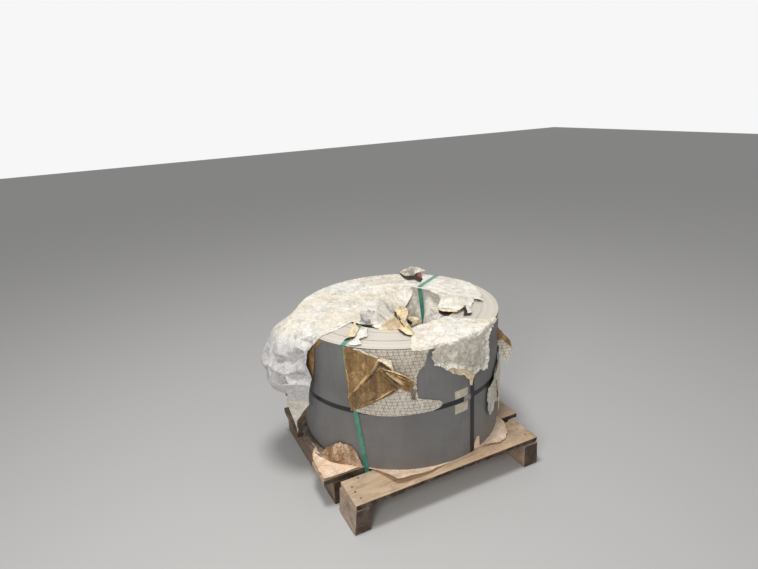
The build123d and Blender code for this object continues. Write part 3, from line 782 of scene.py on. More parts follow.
def buildTimber(node, look):
    name, finish, lengthwise, wane, skew, frontRough = look
    low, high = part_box(node)
    selectNothing()
    bpy.ops.mesh.primitive_cube_add(size=1, location=(low + high) / 2)
    timber = bpy.context.object
    timber.name = name
    timber.scale = high - low
    bakePlace(timber)
    near, middle = 0.001, (low.x + high.x) / 2
    if skew:
        moveWhere(timber, lambda p: p.x < low.x + near and p.y > high.y - near, (skew, 0, 0))
    if wane:
        editWhere(timber, "EDGE", lambda p: p.y < low.y + near and p.z < low.z + near and abs(p.x - middle) < 0.05)
        bpy.ops.mesh.bevel(offset=wane, segments=2)
        editMode(False)
    if node == "front_block_left":  # its weathered outer face leans in towards the top
        moveWhere(timber, lambda p: p.x < low.x + near and p.z > high.z - near, (timberLook["lean"], 0, 0))
    makeActive(timber)
    editMode(True)
    size = high - low
    for axis in range(3):
        cut = timberLook["cut"] * (1 if axis == lengthwise else timberLook["crossCut"])
        count = max(2, round(size[axis] / cut))
        cutAcross(axis, [low[axis] + size[axis] * k / count for k in range(1, count)])
    editMode(False)
    applyModifier(timber, "BEVEL", width=timberLook["ease"], segments=2, limit_method="ANGLE")
    applyModifier(timber, "SUBSURF", levels=1, render_levels=1, subdivision_type="SIMPLE")
    group = timber.vertex_groups.new(name="roughFront")
    arris, chipped = timberLook["arris"], timberLook["chipped"]
    for vertex in timber.data.vertices:
        p = vertex.co
        share = 1 - blendStep(low.y, low.y + timberLook["frontDepth"], p.y)
        if node == "deck_board_1":  # its front is smooth at the left end and less rough at the top
            share *= blendStep(axisX - 0.28, axisX - 0.20, p.x) * (1 - 0.75 * blendStep(high.z - arris, high.z, p.z))
        if node == "front_block_left":  # the split arris at its back corner
            split = (1 - blendStep(low.x, low.x + arris, p.x)) * blendStep(high.y - chipped, high.y, p.y)
            share = max(share, split)
        if share > 0:
            group.add([vertex.index], share, "REPLACE")
    sawn = cloudTexture(name + "Sawn", timberLook["grainSize"])
    split = cloudTexture(name + "Split", timberLook["splitSize"], 3)
    shared = {"texture_coords": "LOCAL", "mid_level": 1.0}
    applyModifier(timber, "DISPLACE", texture=sawn, strength=timberLook["rough"], **shared)
    applyModifier(timber, "DISPLACE", texture=split, strength=frontRough, vertex_group="roughFront", **shared)
    dress(timber, finish, "timber", node)
    smooth(timber, 38)


nailLook = {"radius": 0.0034, "height": 0.0016, "proud": 0.0006, "sides": 14, "ease": 0.0004}
# board: (millimetres from the coil's axis along the board, and from the board's front edge)
nailPlaces = {
    "deck_board_1": [(-408, 103), (-409, 72), (-403, 32), (-367, 139), (358, 128), (353, 87), (357, 42)],
    "deck_board_2": [(-432, 30), (-404, 70), (-416, 112), (342, 28), (364, 66), (350, 108)],
    "deck_board_3": [(-430, 40), (-408, 118), (-420, 196), (346, 44), (368, 120), (350, 200)],
    "deck_board_4": [(-366, 36), (-350, 104), (348, 40), (362, 108)],
}


def buildNails():
    selectNothing()
    bpy.ops.mesh.primitive_cylinder_add(vertices=nailLook["sides"], radius=nailLook["radius"], depth=nailLook["height"])
    model = bpy.context.object
    editMode(True)
    bpy.ops.mesh.select_all(action="SELECT")
    bpy.ops.mesh.bevel(offset=nailLook["ease"], segments=1)
    editMode(False)
    heads = []
    for node, places in nailPlaces.items():
        low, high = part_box(node)
        for x, y in places:
            head = model.copy()
            head.data = model.data.copy()
            head.location = (axisX + x * mm, low.y + y * mm, high.z + nailLook["proud"] - nailLook["height"] / 2)
            bpy.context.scene.collection.objects.link(head)
            heads.append(head)
    selectNothing()
    for head in heads:
        head.select_set(True)
    model.select_set(True)
    model.location = heads[0].location - Vector((0, 0.03, 0))  # one more nail, before the first
    bpy.context.view_layer.objects.active = model
    bpy.ops.object.join()
    nails = bpy.context.object
    nails.name = "nailHeads"
    bakePlace(nails)
    dress(nails, "nail", "timber")
    smooth(nails, 30)


# Clip of the waist band: a plate bent round the wall with two crimps pressed into each long edge

clipLook = {
    "length": 0.036, "thickness": 0.0015, "crimps": (-0.009, 0.009), "crimpDepth": 0.0009, "crimpHalf": 0.0025,
    "along": 13, "across": 7,
}


def buildClip():
    low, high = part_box("waist_seal")
    middle = (low + high) / 2
    azimuth = degrees(atan2(middle.y, middle.x - axisX))
    height = high.z - low.z
    selectNothing()
    bpy.ops.mesh.primitive_cube_add(size=1)
    clip = bpy.context.object
    clip.name = "crimpedClip"
    clip.scale = (clipLook["thickness"], clipLook["length"], height)
    bakePlace(clip)
    editMode(True)
    for axis, length, count in ((1, clipLook["length"], clipLook["along"]), (2, height, clipLook["across"])):
        cutAcross(axis, [length * (k / count - 0.5) for k in range(1, count)])
    editMode(False)
    depth, half, crimps = clipLook["crimpDepth"], clipLook["crimpHalf"], clipLook["crimps"]
    moveWhere(clip, lambda p: abs(p.z) > height * 0.3 and min(abs(p.y - c) for c in crimps) < half, (-depth, 0, 0))
    moveWhere(clip, lambda p: abs(p.z) > height * 0.46, (-depth * 0.6, 0, 0))
    applyModifier(clip, "BEVEL", width=0.0003, segments=1, limit_method="ANGLE")
    clip.location = polar(fromAxis(middle) + 0.0002, azimuth, middle.z)
    clip.rotation_euler = (0, 0, radians(azimuth))
    bakePlace(clip)
    dress(clip, "clip", "bare_clip", "waist_seal")
    smooth(clip, 30)


# bands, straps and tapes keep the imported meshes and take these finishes
cadFinishes = {
    "blackBand": ["eye_band", "waist_band"], "strap": ["strap_front", "strap_back"],
    "tape": ["tape_upper", "tape_lower"],
}


def dressCadBands():
    for finish, dressed in cadFinishes.items():
        for node in dressed:
            nodes[node].data.materials.clear()
            nodes[node].data.materials.append(finishes[finish])


# Sheets: a torn outline is filled with triangles, laid on a surface and crumpled

# what every sheet has unless its own look says otherwise
sheetLook = {
    "step": 0.005, "cell": 0.007, "row": 0.87, "clear": 0.6, "thickness": 0.0005, "border": 0.006, "tear": 0.002,
    "smooth": 32, "holes": (), "back": "inner", "white": 0.0, "replaces": (), "restsOn": ["coilTurns"],
    "leastSide": 0.0102, "leastShare": 0.3005,
}


def onDisc(s, t):
    # flat metres over the top to (millimetres from the axis, azimuth)
    return hypot(s, t) / mm, degrees(atan2(t, s))


def onWall(azimuth, height):
    # flat millimetres along the wall
    return Vector((radians(azimuth) * wallRadius / mm, height))


def facets(s, t, size, seed):
    # flat triangles between random heights on a lattice that wanders, from -1 to 1
    s += 0.4 * size * wobble(s / size * 0.6, t / size * 0.6, seed)
    t += 0.4 * size * wobble(s / size * 0.6, t / size * 0.6, seed + 5)
    across, upward = (s - 0.5 * t) / size, t / (sheetLook["row"] * size)
    i, j = floor(across), floor(upward)
    a, b = across - i, upward - j
    low, right, left, high = (
        noise.cell(Vector((i + p + 0.5, j + q + 0.5, seed + 0.5))) for p, q in ((0, 0), (1, 0), (0, 1), (1, 1))
    )
    if a + b < 1:
        return low + a * (right - low) + b * (left - low)
    return high + (1 - a) * (left - high) + (1 - b) * (right - high)


def crumple(s, t, size, depth, seed):
    # crumpled paper in metres: large facets with smaller ones on them
    large, middle = facets(s, t, size, seed), facets(s, t, size * 0.47, seed + 3)
    return depth * (large + 0.42 * middle + 0.2 * facets(s, t, size * 0.24, seed + 6))


def foldNet(points):
    # flat facets through (u, v, value) points: gives value at any (u, v)
    spots, _, triangles = delaunay_2d_cdt([Vector(p[:2]) for p in points], [], [], 0, 1e-6)[:3]
    values = [min(points, key=lambda p: hypot(p[0] - spot.x, p[1] - spot.y))[2] for spot in spots]
    table = []
    for a, b, c in triangles:
        p, q, r = spots[a], spots[b], spots[c]
        area = (q - p).cross(r - p)
        table.append((p, q, r, area, (values[a], values[b], values[c])))

    def value(u, v):
        spot = Vector((u, v))
        for p, q, r, area, (vp, vq, vr) in table:
            wq, wr = (spot - p).cross(r - p) / area, (q - p).cross(spot - p) / area
            if wq > -1e-4 and wr > -1e-4 and wq + wr < 1.0001:
                return vp + wq * (vq - vp) + wr * (vr - vp)
        return 0.0
    return value


def tornOutline(corners, tear, seed):
    # corners are (s, t) or (s, t, share of the tear along the side that starts there)
    line = []
    for index, corner in enumerate(corners):
        following = corners[(index + 1) % len(corners)]
        amount = tear * (corner[2] if len(corner) > 2 else 1.0)
        a, b = Vector(corner[:2]), Vector(following[:2])
        length = (b - a).length
        if length < 1e-6:
            continue
        across = Vector((a.y - b.y, b.x - a.x)) / length
        count = max(1, ceil(length / sheetLook["step"]))
        for k in range(count):
            p = a + (b - a) * (k / count)
            ragged = wobble(p.x * 45, p.y * 45, seed) + 0.8 * wobble(p.x * 150, p.y * 150, seed + 9)
            line.append(p + across * amount * ragged)
    return line


def insideOutline(points, line):
    x, y = points[:, 0], points[:, 1]
    inside = np.zeros(len(points), bool)
    nearest = np.full(len(points), 1e9)
    for a, b in zip(line, line[1:] + line[:1]):
        crosses = (a.y > y) != (b.y > y)
        at = (b.x - a.x) * (y - a.y) / (b.y - a.y if b.y != a.y else 1e-12) + a.x
        inside ^= crosses & (x < at)
        nearest = np.minimum(nearest, np.hypot(x - a.x, y - a.y))
    return inside, nearest


def fillOutline(corners, tear, seed, holes, cell):
    line = tornOutline(corners, tear, seed)
    loops = [line] + [tornOutline(hole, tear, seed + 20 + k) for k, hole in enumerate(holes)]
    low = Vector((min(p.x for p in line), min(p.y for p in line)))
    high = Vector((max(p.x for p in line), max(p.y for p in line)))
    grid, row, shift, clear = [], sheetLook["row"], 0.5 * cell, sheetLook["clear"] * cell
    for j in range(int((high.y - low.y) / (row * cell)) + 2):
        for i in range(int((high.x - low.x) / cell) + 2):
            x = low.x + (i + 0.5 * (j % 2)) * cell
            y = low.y + j * row * cell
            grid.append((x + shift * wobble(x * 90, y * 90, seed + 2), y + shift * wobble(x * 90, y * 90, seed + 4)))
    grid = np.array(grid)
    keep, nearest = insideOutline(grid, line)
    keep &= nearest > clear
    for hole in loops[1:]:
        inHole, nearHole = insideOutline(grid, hole)
        keep &= ~inHole & (nearHole > clear)
    points, edges = [], []
    for loop in loops:
        start = len(points)
        points += loop
        edges += [(start + k, start + (k + 1) % len(loop)) for k in range(len(loop))]
    points += [Vector(p) for p in grid[keep]]
    result = delaunay_2d_cdt(points, edges, [], 1, 1e-6)
    spots, triangles = result[0], result[2]
    if holes:
        middles = np.array([sum((spots[k] for k in t), Vector((0, 0))) / 3 for t in triangles])
        gone = np.zeros(len(triangles), bool)
        for hole in loops[1:]:
            gone |= insideOutline(middles, hole)[0]
        triangles = [t for t, out in zip(triangles, gone) if not out]
    edge = np.full(len(spots), 1e9)
    where = np.array([(p.x, p.y) for p in spots])
    for loop in loops:
        edge = np.minimum(edge, insideOutline(where, loop)[1])
    return spots, triangles, edge


def smallestRectangle(spots):
    # the flat piece of paper that the torn outline could be cut from
    flat = np.array([(p.x, p.y) for p in spots])
    sizes = []
    for turn in range(0, 90, 3):
        across = flat @ (cos(radians(turn)), sin(radians(turn)))
        upward = flat @ (-sin(radians(turn)), cos(radians(turn)))
        sizes.append((float(np.ptp(across)), float(np.ptp(upward))))
    return min(sizes, key=lambda size: size[0] * size[1])


def makeSheet(name, corners, place, look):
    # place turns a flat (s, t) and its distance from the torn edge into a point of the frame
    look = {**sheetLook, **look}
    slot = look.get("slot", "kraft_paper" if look["finish"] in kraftLooks else "wrapper_paper")
    spots, triangles, edge = fillOutline(corners, look["tear"], look["seed"], look["holes"], look["cell"])
    mesh = bpy.data.meshes.new(name)
    mesh.from_pydata([place(p.x, p.y, e) for p, e in zip(spots, edge)], [], [tuple(t) for t in triangles])
    piece = bpy.data.objects.new(name, mesh)
    bpy.context.scene.collection.objects.link(piece)
    layer = mesh.uv_layers.new(name="flat")
    for loop in mesh.loops:
        layer.data[loop.index].uv = spots[loop.vertex_index]
    # the share of painted shade and the torn white border, kept on the corners for the finishes
    shadeShare = look.get("shadeShare", lambda place: 0.0)
    border = [look["white"] * (1 - blendStep(0, look["border"], e)) for e in edge]
    for label, values in (("border", border), ("shadeShare", [shadeShare(v.co) for v in mesh.vertices])):
        mesh.attributes.new(label, "FLOAT", "POINT").data.foreach_set("value", values)
    area = sum(face.area for face in mesh.polygons)
    applyModifier(piece, "SOLIDIFY", thickness=look["thickness"], offset=0, material_offset=1, material_offset_rim=0)
    smooth(piece, look["smooth"])
    dress(piece, [look["finish"], look["back"]], slot, *look["replaces"])
    width, length = (max(look["leastSide"], side) for side in smallestRectangle(spots))
    stretch = max(1.0, (area / (width * length)) ** 0.5 * 1.001)
    width, length = width * stretch, length * stretch
    area = max(area, look["leastShare"] * width * length)
    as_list(look["restsOn"])
    return piece


def wallCorners(corners, middle):
    # (azimuth, millimetres above the coil's foot) to flat metres round the wall
    return [(wallRadius * radians(c[0] - middle), c[1] * mm, *c[2:]) for c in corners]


def flatCorners(corners):
    # millimetres to metres
    return [(c[0] * mm, c[1] * mm, *c[2:]) for c in corners]


def discCorners(corners):
    # (millimetres from the axis, azimuth) to flat metres over the top
    return [(c[0] * mm * cos(radians(c[1])), c[0] * mm * sin(radians(c[1])), *c[2:]) for c in corners]


# Cover and drape: one sheet over the back and left of the top, that runs over the rim and hangs clear of the wall

drapeLook = {
    "span": (150, 203), "close": 432.5,
    # millimetres dropped below the rim, millimetres from the axis where the sheet swings fullest
    "swing": [
        (0, 433), (20, 484), (41, 520), (93, 556), (140, 580), (178, 584), (212, 576), (241, 572), (268, 562),
        (330, 530), (371, 510), (514, 480),
    ],
    # azimuth, how full the swing is
    "full": [
        (148, 0), (153, 0.35), (159, 0.85), (165, 1), (172, 1), (178, 0.86), (184, 0.62), (189, 0.40), (193, 0.24),
        (201, 0.06),
    ],
    # azimuth, drop, millimetres in or out: the creases that the hanging part is folded along
    "folds": [
        (146, -10, 0), (146, 530, 0), (206, -10, 0), (206, 530, 0), (160, 4, 0), (172, 2, 0), (184, 4, 0),
        (196, 6, 0), (171, 14, 5), (181, 14, -6), (176, 30, 6), (173.8, 42, -8), (185.3, 44, -7), (180, 60, 10),
        (186.6, 20, 7), (197.4, 12, 6), (189.7, 27, -10), (194.5, 34, -7), (188.6, 44, 9), (192.7, 58, 10),
        (190.4, 76, -9), (184, 72, 4), (183.1, 86, 11), (187, 74, 8), (188, 92, -8), (186.2, 109, -12),
        (182.8, 106, -8), (178, 92, 7), (174, 124, -7), (181.7, 112, -9), (178, 138, 10), (190.5, 139, 10),
        (174.7, 150, 13), (183.9, 152, 14), (186, 160, 11), (170, 150, 6), (175.8, 180, -8), (174.6, 212, -17),
        (183.5, 187, -16), (168, 212, -10), (180, 204, 12), (182.5, 216, 12), (174, 226, 12), (173.8, 262, -4),
        (189.8, 163, -8), (188.2, 195, 16), (194.4, 180, -8), (193, 120, 8), (194.5, 204, 6), (191, 296, -4),
        (181.6, 278, -16), (178.3, 266, -14), (184.6, 282, 15), (186, 240, 12), (180, 380, 8), (176, 400, -6),
        (173, 300, -4), (177, 500, 0), (168, 300, 6), (164, 200, 6), (162, 100, -6), (166, 60, 6), (158, 60, 0),
        (160, 260, 0),
    ],
}
coverLook = {
    "seed": 2.0, "tear": 0.0025, "cell": 0.0062, "finish": "cover", "held": "draped", "smooth": 7,
    # painted shade: how much of the greyer shaded paper the sheet takes: the whole drape but its lowest tip
    "replaces": ("top_cover", "left_drape"), "shadeShare": lambda place: (
        blendStep(wallRadius - 0.002, wallRadius + 0.002, fromAxis(place))
        * blendStep(coilTop + 0.002, coilTop - 0.06, place.z)
        * (1 - 0.9 * blendStep(coilTop - 0.26, coilTop - 0.30, place.z))
    ),
    # the free edge over the eye, from the near-left rim round to the far rim
    "edge": [
        (345, -161.5), (287, -162.7), (240, -164.2), (236, -156), (222, -149), (196, -136), (140, -131), (100, -124),
        (55, -126), (30, -150), (14, 120), (100, 68), (170, 51), (225, 45), (262, 42, 0.3), (350, 42, 0.3),
        (437, 42.5, 0.2),
    ],
    "hole": [(434, 151), (441, 153.5), (438, 157), (431, 154)],
    # millimetres: the line past which it sinks into the eye, how deep and how steeply, and its belly
    "fold": ((-66, 50), (121, 408)), "sink": (10, 0.9, 16),
    # millimetres: where it bends over the rim, its lift over the face, and its wrinkles there and over the eye
    "bend": 4, "round": 10, "lift": 2.2, "least": 0.8, "wrinkle": (0.55, 1.4),
}
# millimetres of drape to a degree, and the strap that leads back over the top: its azimuth, the direction across it
# and how far from it the paper is held flat
aroundDrape = 9.5
backStrap = {"azimuth": 35.5, "across": (-0.57, 0.82), "calms": (0.012, 0.05)}
drapeFolds = foldNet([(azimuth * aroundDrape, drop, out) for azimuth, drop, out in drapeLook["folds"]])


def coverCrumple(s, t, seed):
    # wrinkles of the sheets on the top, held flat under the back strap
    x, y = backStrap["across"]
    strapOff = abs(x * s + y * t) if s > 0 and t > 0 else 1.0
    calm = 0.3 + 0.7 * blendStep(*backStrap["calms"], strapOff)
    return calm * crumple(s, t, 0.055, 0.0026, seed) / mm


def coverPlace(s, t, edge):
    look = coverLook
    radius, azimuth = onDisc(s, t)
    wrinkle = coverCrumple(s, t, 2.3)
    if radius <= rim - look["bend"]:
        (x0, y0), (x1, y1) = look["fold"]
        beyond = ((s / mm - x0) * (y1 - y0) - (t / mm - y0) * (x1 - x0)) / hypot(x1 - x0, y1 - y0)
        inside = max(0.0, 1 - (radius / bore) ** 2)
        sink, steeper, belly = look["sink"]
        sag = (sink + steeper * max(0.0, beyond)) * inside ** 0.7 + belly * inside * (1 - inside)
        lift = look["lift"] + wrinkle * look["wrinkle"][0 if radius > bore else 1] - sag
        if radius > bore:
            lift = max(look["least"], lift)
        return polar(radius * mm, azimuth % 360, coilTop + lift * mm)
    return hangingPlace(azimuth % 360, radius - rim + look["bend"], wrinkle)


def hangingPlace(azimuth, drop, wrinkle):
    # over the rim: close to the wall at the back, swung out and folded at the drape
    turned = 4 * (1 - blendStep(0, coverLook["round"], drop))
    out = rim + coverLook["lift"] + 0.4 * abs(wrinkle)
    first, last = drapeLook["span"]
    if first < azimuth < last:
        close, fullness = drapeLook["close"], along(drapeLook["full"], azimuth)
        out = close + fullness * (along(drapeLook["swing"], drop) - close)
        fade = blendStep(6, 40, drop) * min(1.0, fullness * 2.2)
        out += drapeFolds(azimuth * aroundDrape, drop) * fade * (0.7 + 1.3 * blendStep(172, 180, azimuth))
        out += crumple(azimuth * aroundDrape * mm, drop * mm, 0.06, 0.0016, 5.1) / mm * blendStep(6, 50, drop)
        out = max(out, rim + 2.0)
    level = 2.0 - drop * min(1, drop / coverLook["round"])
    return polar((out - turned * 0.5) * mm, azimuth, coilTop + level * mm)


def buildCover():
    lap = [(rim + 7 + 3 * wobble(a * 0.2, 1.5, 4.4), a, 0.6) for a in range(48, 150, 6)]
    drape = [
        (rim + 10, 150, 0.4), (rim + 75, 152), (rim + 180, 157), (rim + 250, 162), (rim + 268, 167),
        (rim + 277, 173.5, 0.5), (rim + 284, 180.8, 0.3), (rim + 400, 177.0, 0.4), (rim + 506, 173.6, 0.3),
        (rim + 440, 179.5, 0.4), (rim + 360, 185.5, 0.5), (rim + 296, 191.0, 0.5), (rim + 202, 194.5, 0.4),
        (rim + 154, 194.4, 0.4), (rim + 94, 193.4, 0.3), (rim + 55, 193.6, 0.3), (rim + 22, 197.2, 0.3),
        (rim - 2, 199.6, 0.3), (405, 198.5, 0.6),
    ]
    look = dict(coverLook, holes=[discCorners(coverLook["hole"])])
    makeSheet("coverAndDrape", discCorners(coverLook["edge"] + lap + drape), coverPlace, look)

    # its front edge is turned in, brown side out: (azimuth, height) corners
    middle = -165
    fold = [
        (-156.2, 532), (-155.6, 520), (-160, 492), (-165, 466), (-165.7, 414), (-167.2, 357), (-169.5, 300),
        (-172.4, 292), (-172.5, 330), (-171.5, 399), (-169.4, 448), (-166, 484), (-161, 512),
    ]

    def foldPlace(s, t, edge):
        azimuth = middle + degrees(s / wallRadius)
        out = 3.5 + 9 * blendStep(-164, -172, azimuth) * blendStep(500, 440, t / mm) + 1.2 * facets(s, t, 0.03, 4.4)
        return polar(wallRadius + out * mm, azimuth, coilFoot + min(t, coilWidth - 0.002))

    makeSheet("turnedEdge", wallCorners(fold, middle), foldPlace, {
        "seed": 3.0, "tear": 0.0008, "cell": 0.006, "finish": "inner", "back": "cover", "held": "folded",
        "restsOn": ["coverAndDrape"], "white": 0.7, "border": 0.004,
    })


# Right cover: the same end sheet right of the back strap, torn along its near side

rightLook = {
    "seed": 4.0, "tear": 0.004, "cell": 0.0065, "finish": "cover", "held": "draped",
    "corners": [
        (418, 3), (392, -12), (374, -21), (352, -27), (336, -26), (322, -33), (318, -43), (306, -49), (296, -41),
        (280, -41), (262, -44.5), (248, -50), (215, -50), (186, -46.5), (182, -38), (196, -20), (214, 0), (232, 24),
        (243, 46, 0.2),
    ],
    # (x, y, rise in millimetres) of the raised lip and of the tip beside it, and how far each rise reaches
    "lip": (222, -118, 24), "lipReach": (105, 10), "tip": (335, -133, 6), "tipReach": (16, 0),
    # millimetres off the face and off the wall, and how deep it sinks into the eye
    "lift": 2.4, "least": 0.8, "out": 2.6, "sink": 10,
}


def rightPlace(s, t, edge):
    look = rightLook
    radius, azimuth = onDisc(s, t)
    wrinkle = coverCrumple(s, t, 3.9)
    if radius > rim:
        return polar((rim + look["out"] + 0.5 * abs(wrinkle)) * mm, azimuth, coilTop + (2 - (radius - rim)) * mm)
    x, y, rise = look["lip"]
    lip = rise * blendStep(*look["lipReach"], hypot(s / mm - x, t / mm - y)) ** 1.3
    lift = look["lift"] + 0.7 * wrinkle + lip
    x, y, rise = look["tip"]
    lift += rise * blendStep(*look["tipReach"], hypot(s / mm - x, t / mm - y))
    if radius < bore:
        lift -= look["sink"] * (1 - (radius / bore) ** 2) * blendStep(-10, 30, azimuth)
    return polar(radius * mm, azimuth, coilTop + max(look["least"], lift) * mm)


def buildRightCover():
    lap = [(rim + 7 + 3 * wobble(a * 0.2, 3.5, 1.4), a, 0.5) for a in range(46, 4, -6)]
    makeSheet("rightCover", discCorners(rightLook["corners"] + lap), rightPlace, rightLook)


# Front cover: the end sheet over the near-right face; it runs over the rim into the wrapper on the wall

frontLook = {
    "seed": 6.0, "tear": 0.0035, "cell": 0.0065, "finish": "cover", "held": "laid", "replaces": ("front_cover",),
    # millimetres off the face and off the wall, and where it bends over the rim
    "lift": 3.2, "least": 1.0, "out": 4.2, "bend": 2,
    "corners": [
        (371, -109.2), (330, -107.6), (276, -104.6), (250, -99), (245, -90), (243, -75.4), (254, -64.2), (302, -63.4),
        (355, -60.4), (397, -58), (437, -52, 0.4),
    ],
}


def frontPlace(s, t, edge):
    look = frontLook
    radius, azimuth = onDisc(s, t)
    wrinkle = coverCrumple(s, t, 6.1)
    if radius > rim - look["bend"]:
        drop = radius - rim + look["bend"]
        out = rim + look["out"] + 0.6 * abs(wrinkle) + 2.5 * blendStep(8, 0, edge / mm) * blendStep(4, 12, drop)
        return polar((out - 3 * blendStep(5, 0, drop)) * mm, azimuth, coilTop + (look["lift"] - drop) * mm)
    return polar(radius * mm, azimuth, coilTop + max(look["least"], look["lift"] + 0.8 * wrinkle) * mm)


def buildFrontCover():
    lap = [(rim + 13 + 5 * wobble(a * 0.3, 7.5, 1.4), -a) for a in range(54, 112, 3)]
    makeSheet("frontCover", discCorners(frontLook["corners"] + lap), frontPlace, frontLook)


# Bore liner: the sheet that hangs down inside the far side of the bore, pushed into level wrinkles

linerLook = {
    # middle: the azimuth that its corners are measured from, top: metres over the face where it turns back,
    # lean and laid: millimetres that it leans into the eye and stands off the face
    "middle": 40, "lean": 80, "top": 0.0014, "laid": 4.6, "seed": 7.0, "tear": 0.004, "cell": 0.0062,
    "finish": "liner", "smooth": 10, "held": "draped", "replaces": ("bore_liner",),
    "corners": [
        (-40, 300), (-20, 240), (6, 205), (30, 225), (52, 190), (74, 240), (96, 300), (118, 330), (128, 420),
        (128, 512), (96, 530, 0.4), (62, 532, 0.4), (30, 530, 0.4), (0, 526, 0.4), (-20, 512), (-40, 490),
    ],
}


def linerPlace(s, t, edge):
    azimuth = linerLook["middle"] + degrees(s / boreRadius)
    fromStrap = abs(azimuth - backStrap["azimuth"])
    strapOff = 0.12 + 0.88 * blendStep(3, 14, fromStrap)
    level = facets(s * 0.33, t, 0.016, 8.2) + 0.5 * facets(s * 0.4, t, 0.008, 9.2)
    fold = (4.5 + 3.2 * level + 2.5 * facets(s, t, 0.06, 7.7)) * strapOff
    top = coilWidth + linerLook["top"]
    if t > top:  # the top of the sheet is laid back over the face
        back = blendStep(0, 0.012, t - top) * blendStep(3.5, 9, fromStrap)
        lift = 1.6 + (linerLook["laid"] + level) * back
        return polar(boreRadius + (t - top) + 0.001, azimuth, coilTop + lift * mm)
    near = 0.4 + 0.6 * blendStep(0, 0.03, top - t)
    sides = blendStep(128, 100, azimuth) * blendStep(-40, -10, azimuth)
    lean = linerLook["lean"] * strapOff * blendStep(0, 0.22, top - t) * sides
    return polar(boreRadius - (0.8 + max(0.2, fold) * near + lean) * mm, azimuth, coilFoot + t)


def buildLiner():
    middle = linerLook["middle"]
    corners = [(boreRadius * radians(c[0] - middle), c[1] * mm, *c[2:]) for c in linerLook["corners"]]
    makeSheet("boreLiner", corners, linerPlace, linerLook)


# Sheets on the wall, each by its (azimuth, height) corners

wallSheets = {
    "frontWrap": {
        "replaces": ("outer_wrap",), "finish": "band", "middle": -120, "lift": 3.2, "seed": 11.0, "tear": 0.003,
        "size": 0.07, "depth": 0.0014,
        "corners": [
            (-143.5, 509, 0.3), (-142.6, 420), (-141.1, 251), (-137.3, 243, 0.3), (-127.5, 239, 0.3),
            (-118.6, 240, 0.3), (-108.6, 245, 0.3), (-101.1, 247, 0.5), (-96.7, 257), (-95.6, 272), (-98, 288),
            (-103, 297), (-108, 308), (-108.6, 335), (-108.9, 360), (-109, 396), (-107.2, 424), (-104.4, 440),
            (-103.9, 462), (-103.4, 480), (-101.6, 510, 0.2), (-116.2, 511, 0.2), (-130, 511, 0.2),
        ],
    },
    "tornWrap": {
        "replaces": ("torn_wrap",), "finish": "torn", "middle": -80, "lift": 6.0, "seed": 13.0, "tear": 0.009,
        "size": 0.035, "depth": 0.0042, "white": 1.0, "border": 0.018, "curl": 9.0, "cell": 0.005, "smooth": 16,
        "corners": [
            (-98, 511, 0.2), (-100.8, 493), (-101.3, 473), (-100, 445), (-95.8, 420), (-93.8, 413), (-89.9, 409),
            (-84.5, 393), (-80, 372), (-77.2, 346), (-75.5, 357), (-72.6, 360), (-70.2, 349), (-66.8, 344),
            (-65.4, 362), (-65.1, 408), (-65.3, 466), (-61.3, 500), (-56, 503, 0.6), (-46, 506, 0.6), (-44, 511, 0.2),
            (-75, 512, 0.2),
        ],
    },
    "tornKraft": {
        "finish": "tuft", "middle": -83, "lift": 3.4, "seed": 14.0, "tear": 0.004, "size": 0.03, "depth": 0.002,
        "cell": 0.005, "white": 0.5,
        "corners": [
            (-94.5, 414), (-93.4, 404), (-88.8, 379), (-85.5, 364), (-83.2, 364), (-79.5, 332), (-78.6, 306),
            (-77.2, 300), (-76.4, 330), (-75, 356), (-75, 400), (-84, 420),
        ],
    },
    "lowWrap": {
        "replaces": ("low_wrap",), "finish": "torn", "middle": -50, "lift": 4.5, "seed": 15.0, "tear": 0.006,
        "size": 0.04, "depth": 0.004, "white": 0.9, "border": 0.012, "curl": 5.0,
        "corners": [
            (-63.6, 245), (-57.6, 262), (-54.8, 285), (-48, 318), (-38, 372), (-31, 404), (-31, 190), (-38, 128),
            (-43, 112), (-47.3, 126), (-54.2, 140), (-57, 118), (-60.2, 107), (-62.3, 122), (-64.3, 150),
            (-64.4, 189),
        ],
    },
    "lowShred": {
        "finish": "cover", "middle": -46, "lift": 10.0, "seed": 16.0, "tear": 0.004, "size": 0.03, "depth": 0.004,
        "restsOn": ["lowWrap"],
        "corners": [
            (-52, 268), (-46, 300), (-40, 322), (-37, 250), (-38, 180), (-42, 120), (-45, 60), (-47, 74), (-46, 150),
            (-50, 210),
        ],
    },
    "uprightTab": {
        "finish": "base", "middle": -74, "lift": 2.5, "seed": 17.0, "tear": 0.0015, "size": 0.03, "depth": 0.002,
        "restsOn": ["baseSheet"], "cell": 0.005,
        "corners": [(-75.4, 2), (-75.2, 34), (-73, 56), (-71, 50), (-70.6, 20), (-70.8, 2)],
    },
}


def buildWallSheets():
    for name, look in wallSheets.items():
        def place(s, t, edge, look=look):
            azimuth = look["middle"] + degrees(s / wallRadius)
            out = look["lift"] * mm + crumple(s, t, look["size"], look["depth"], look["seed"])
            free = blendStep(coilWidth - 0.004, coilWidth - 0.03, t)
            out += look.get("curl", 0.0) * mm * free * (1 - blendStep(0, 0.014, edge)) ** 2
            return polar(wallRadius + max(0.0024, out), azimuth, coilFoot + t)

        sheet = {"held": "hung", "cell": 0.0062, **look}
        makeSheet(name, wallCorners(look["corners"], look["middle"]), place, sheet)


# Kraft corner: the wrapper's front corner folded back on itself, brown side out. Each ridge is a line
# (azimuth, height) to (azimuth, height) with its half width and rise in millimetres.

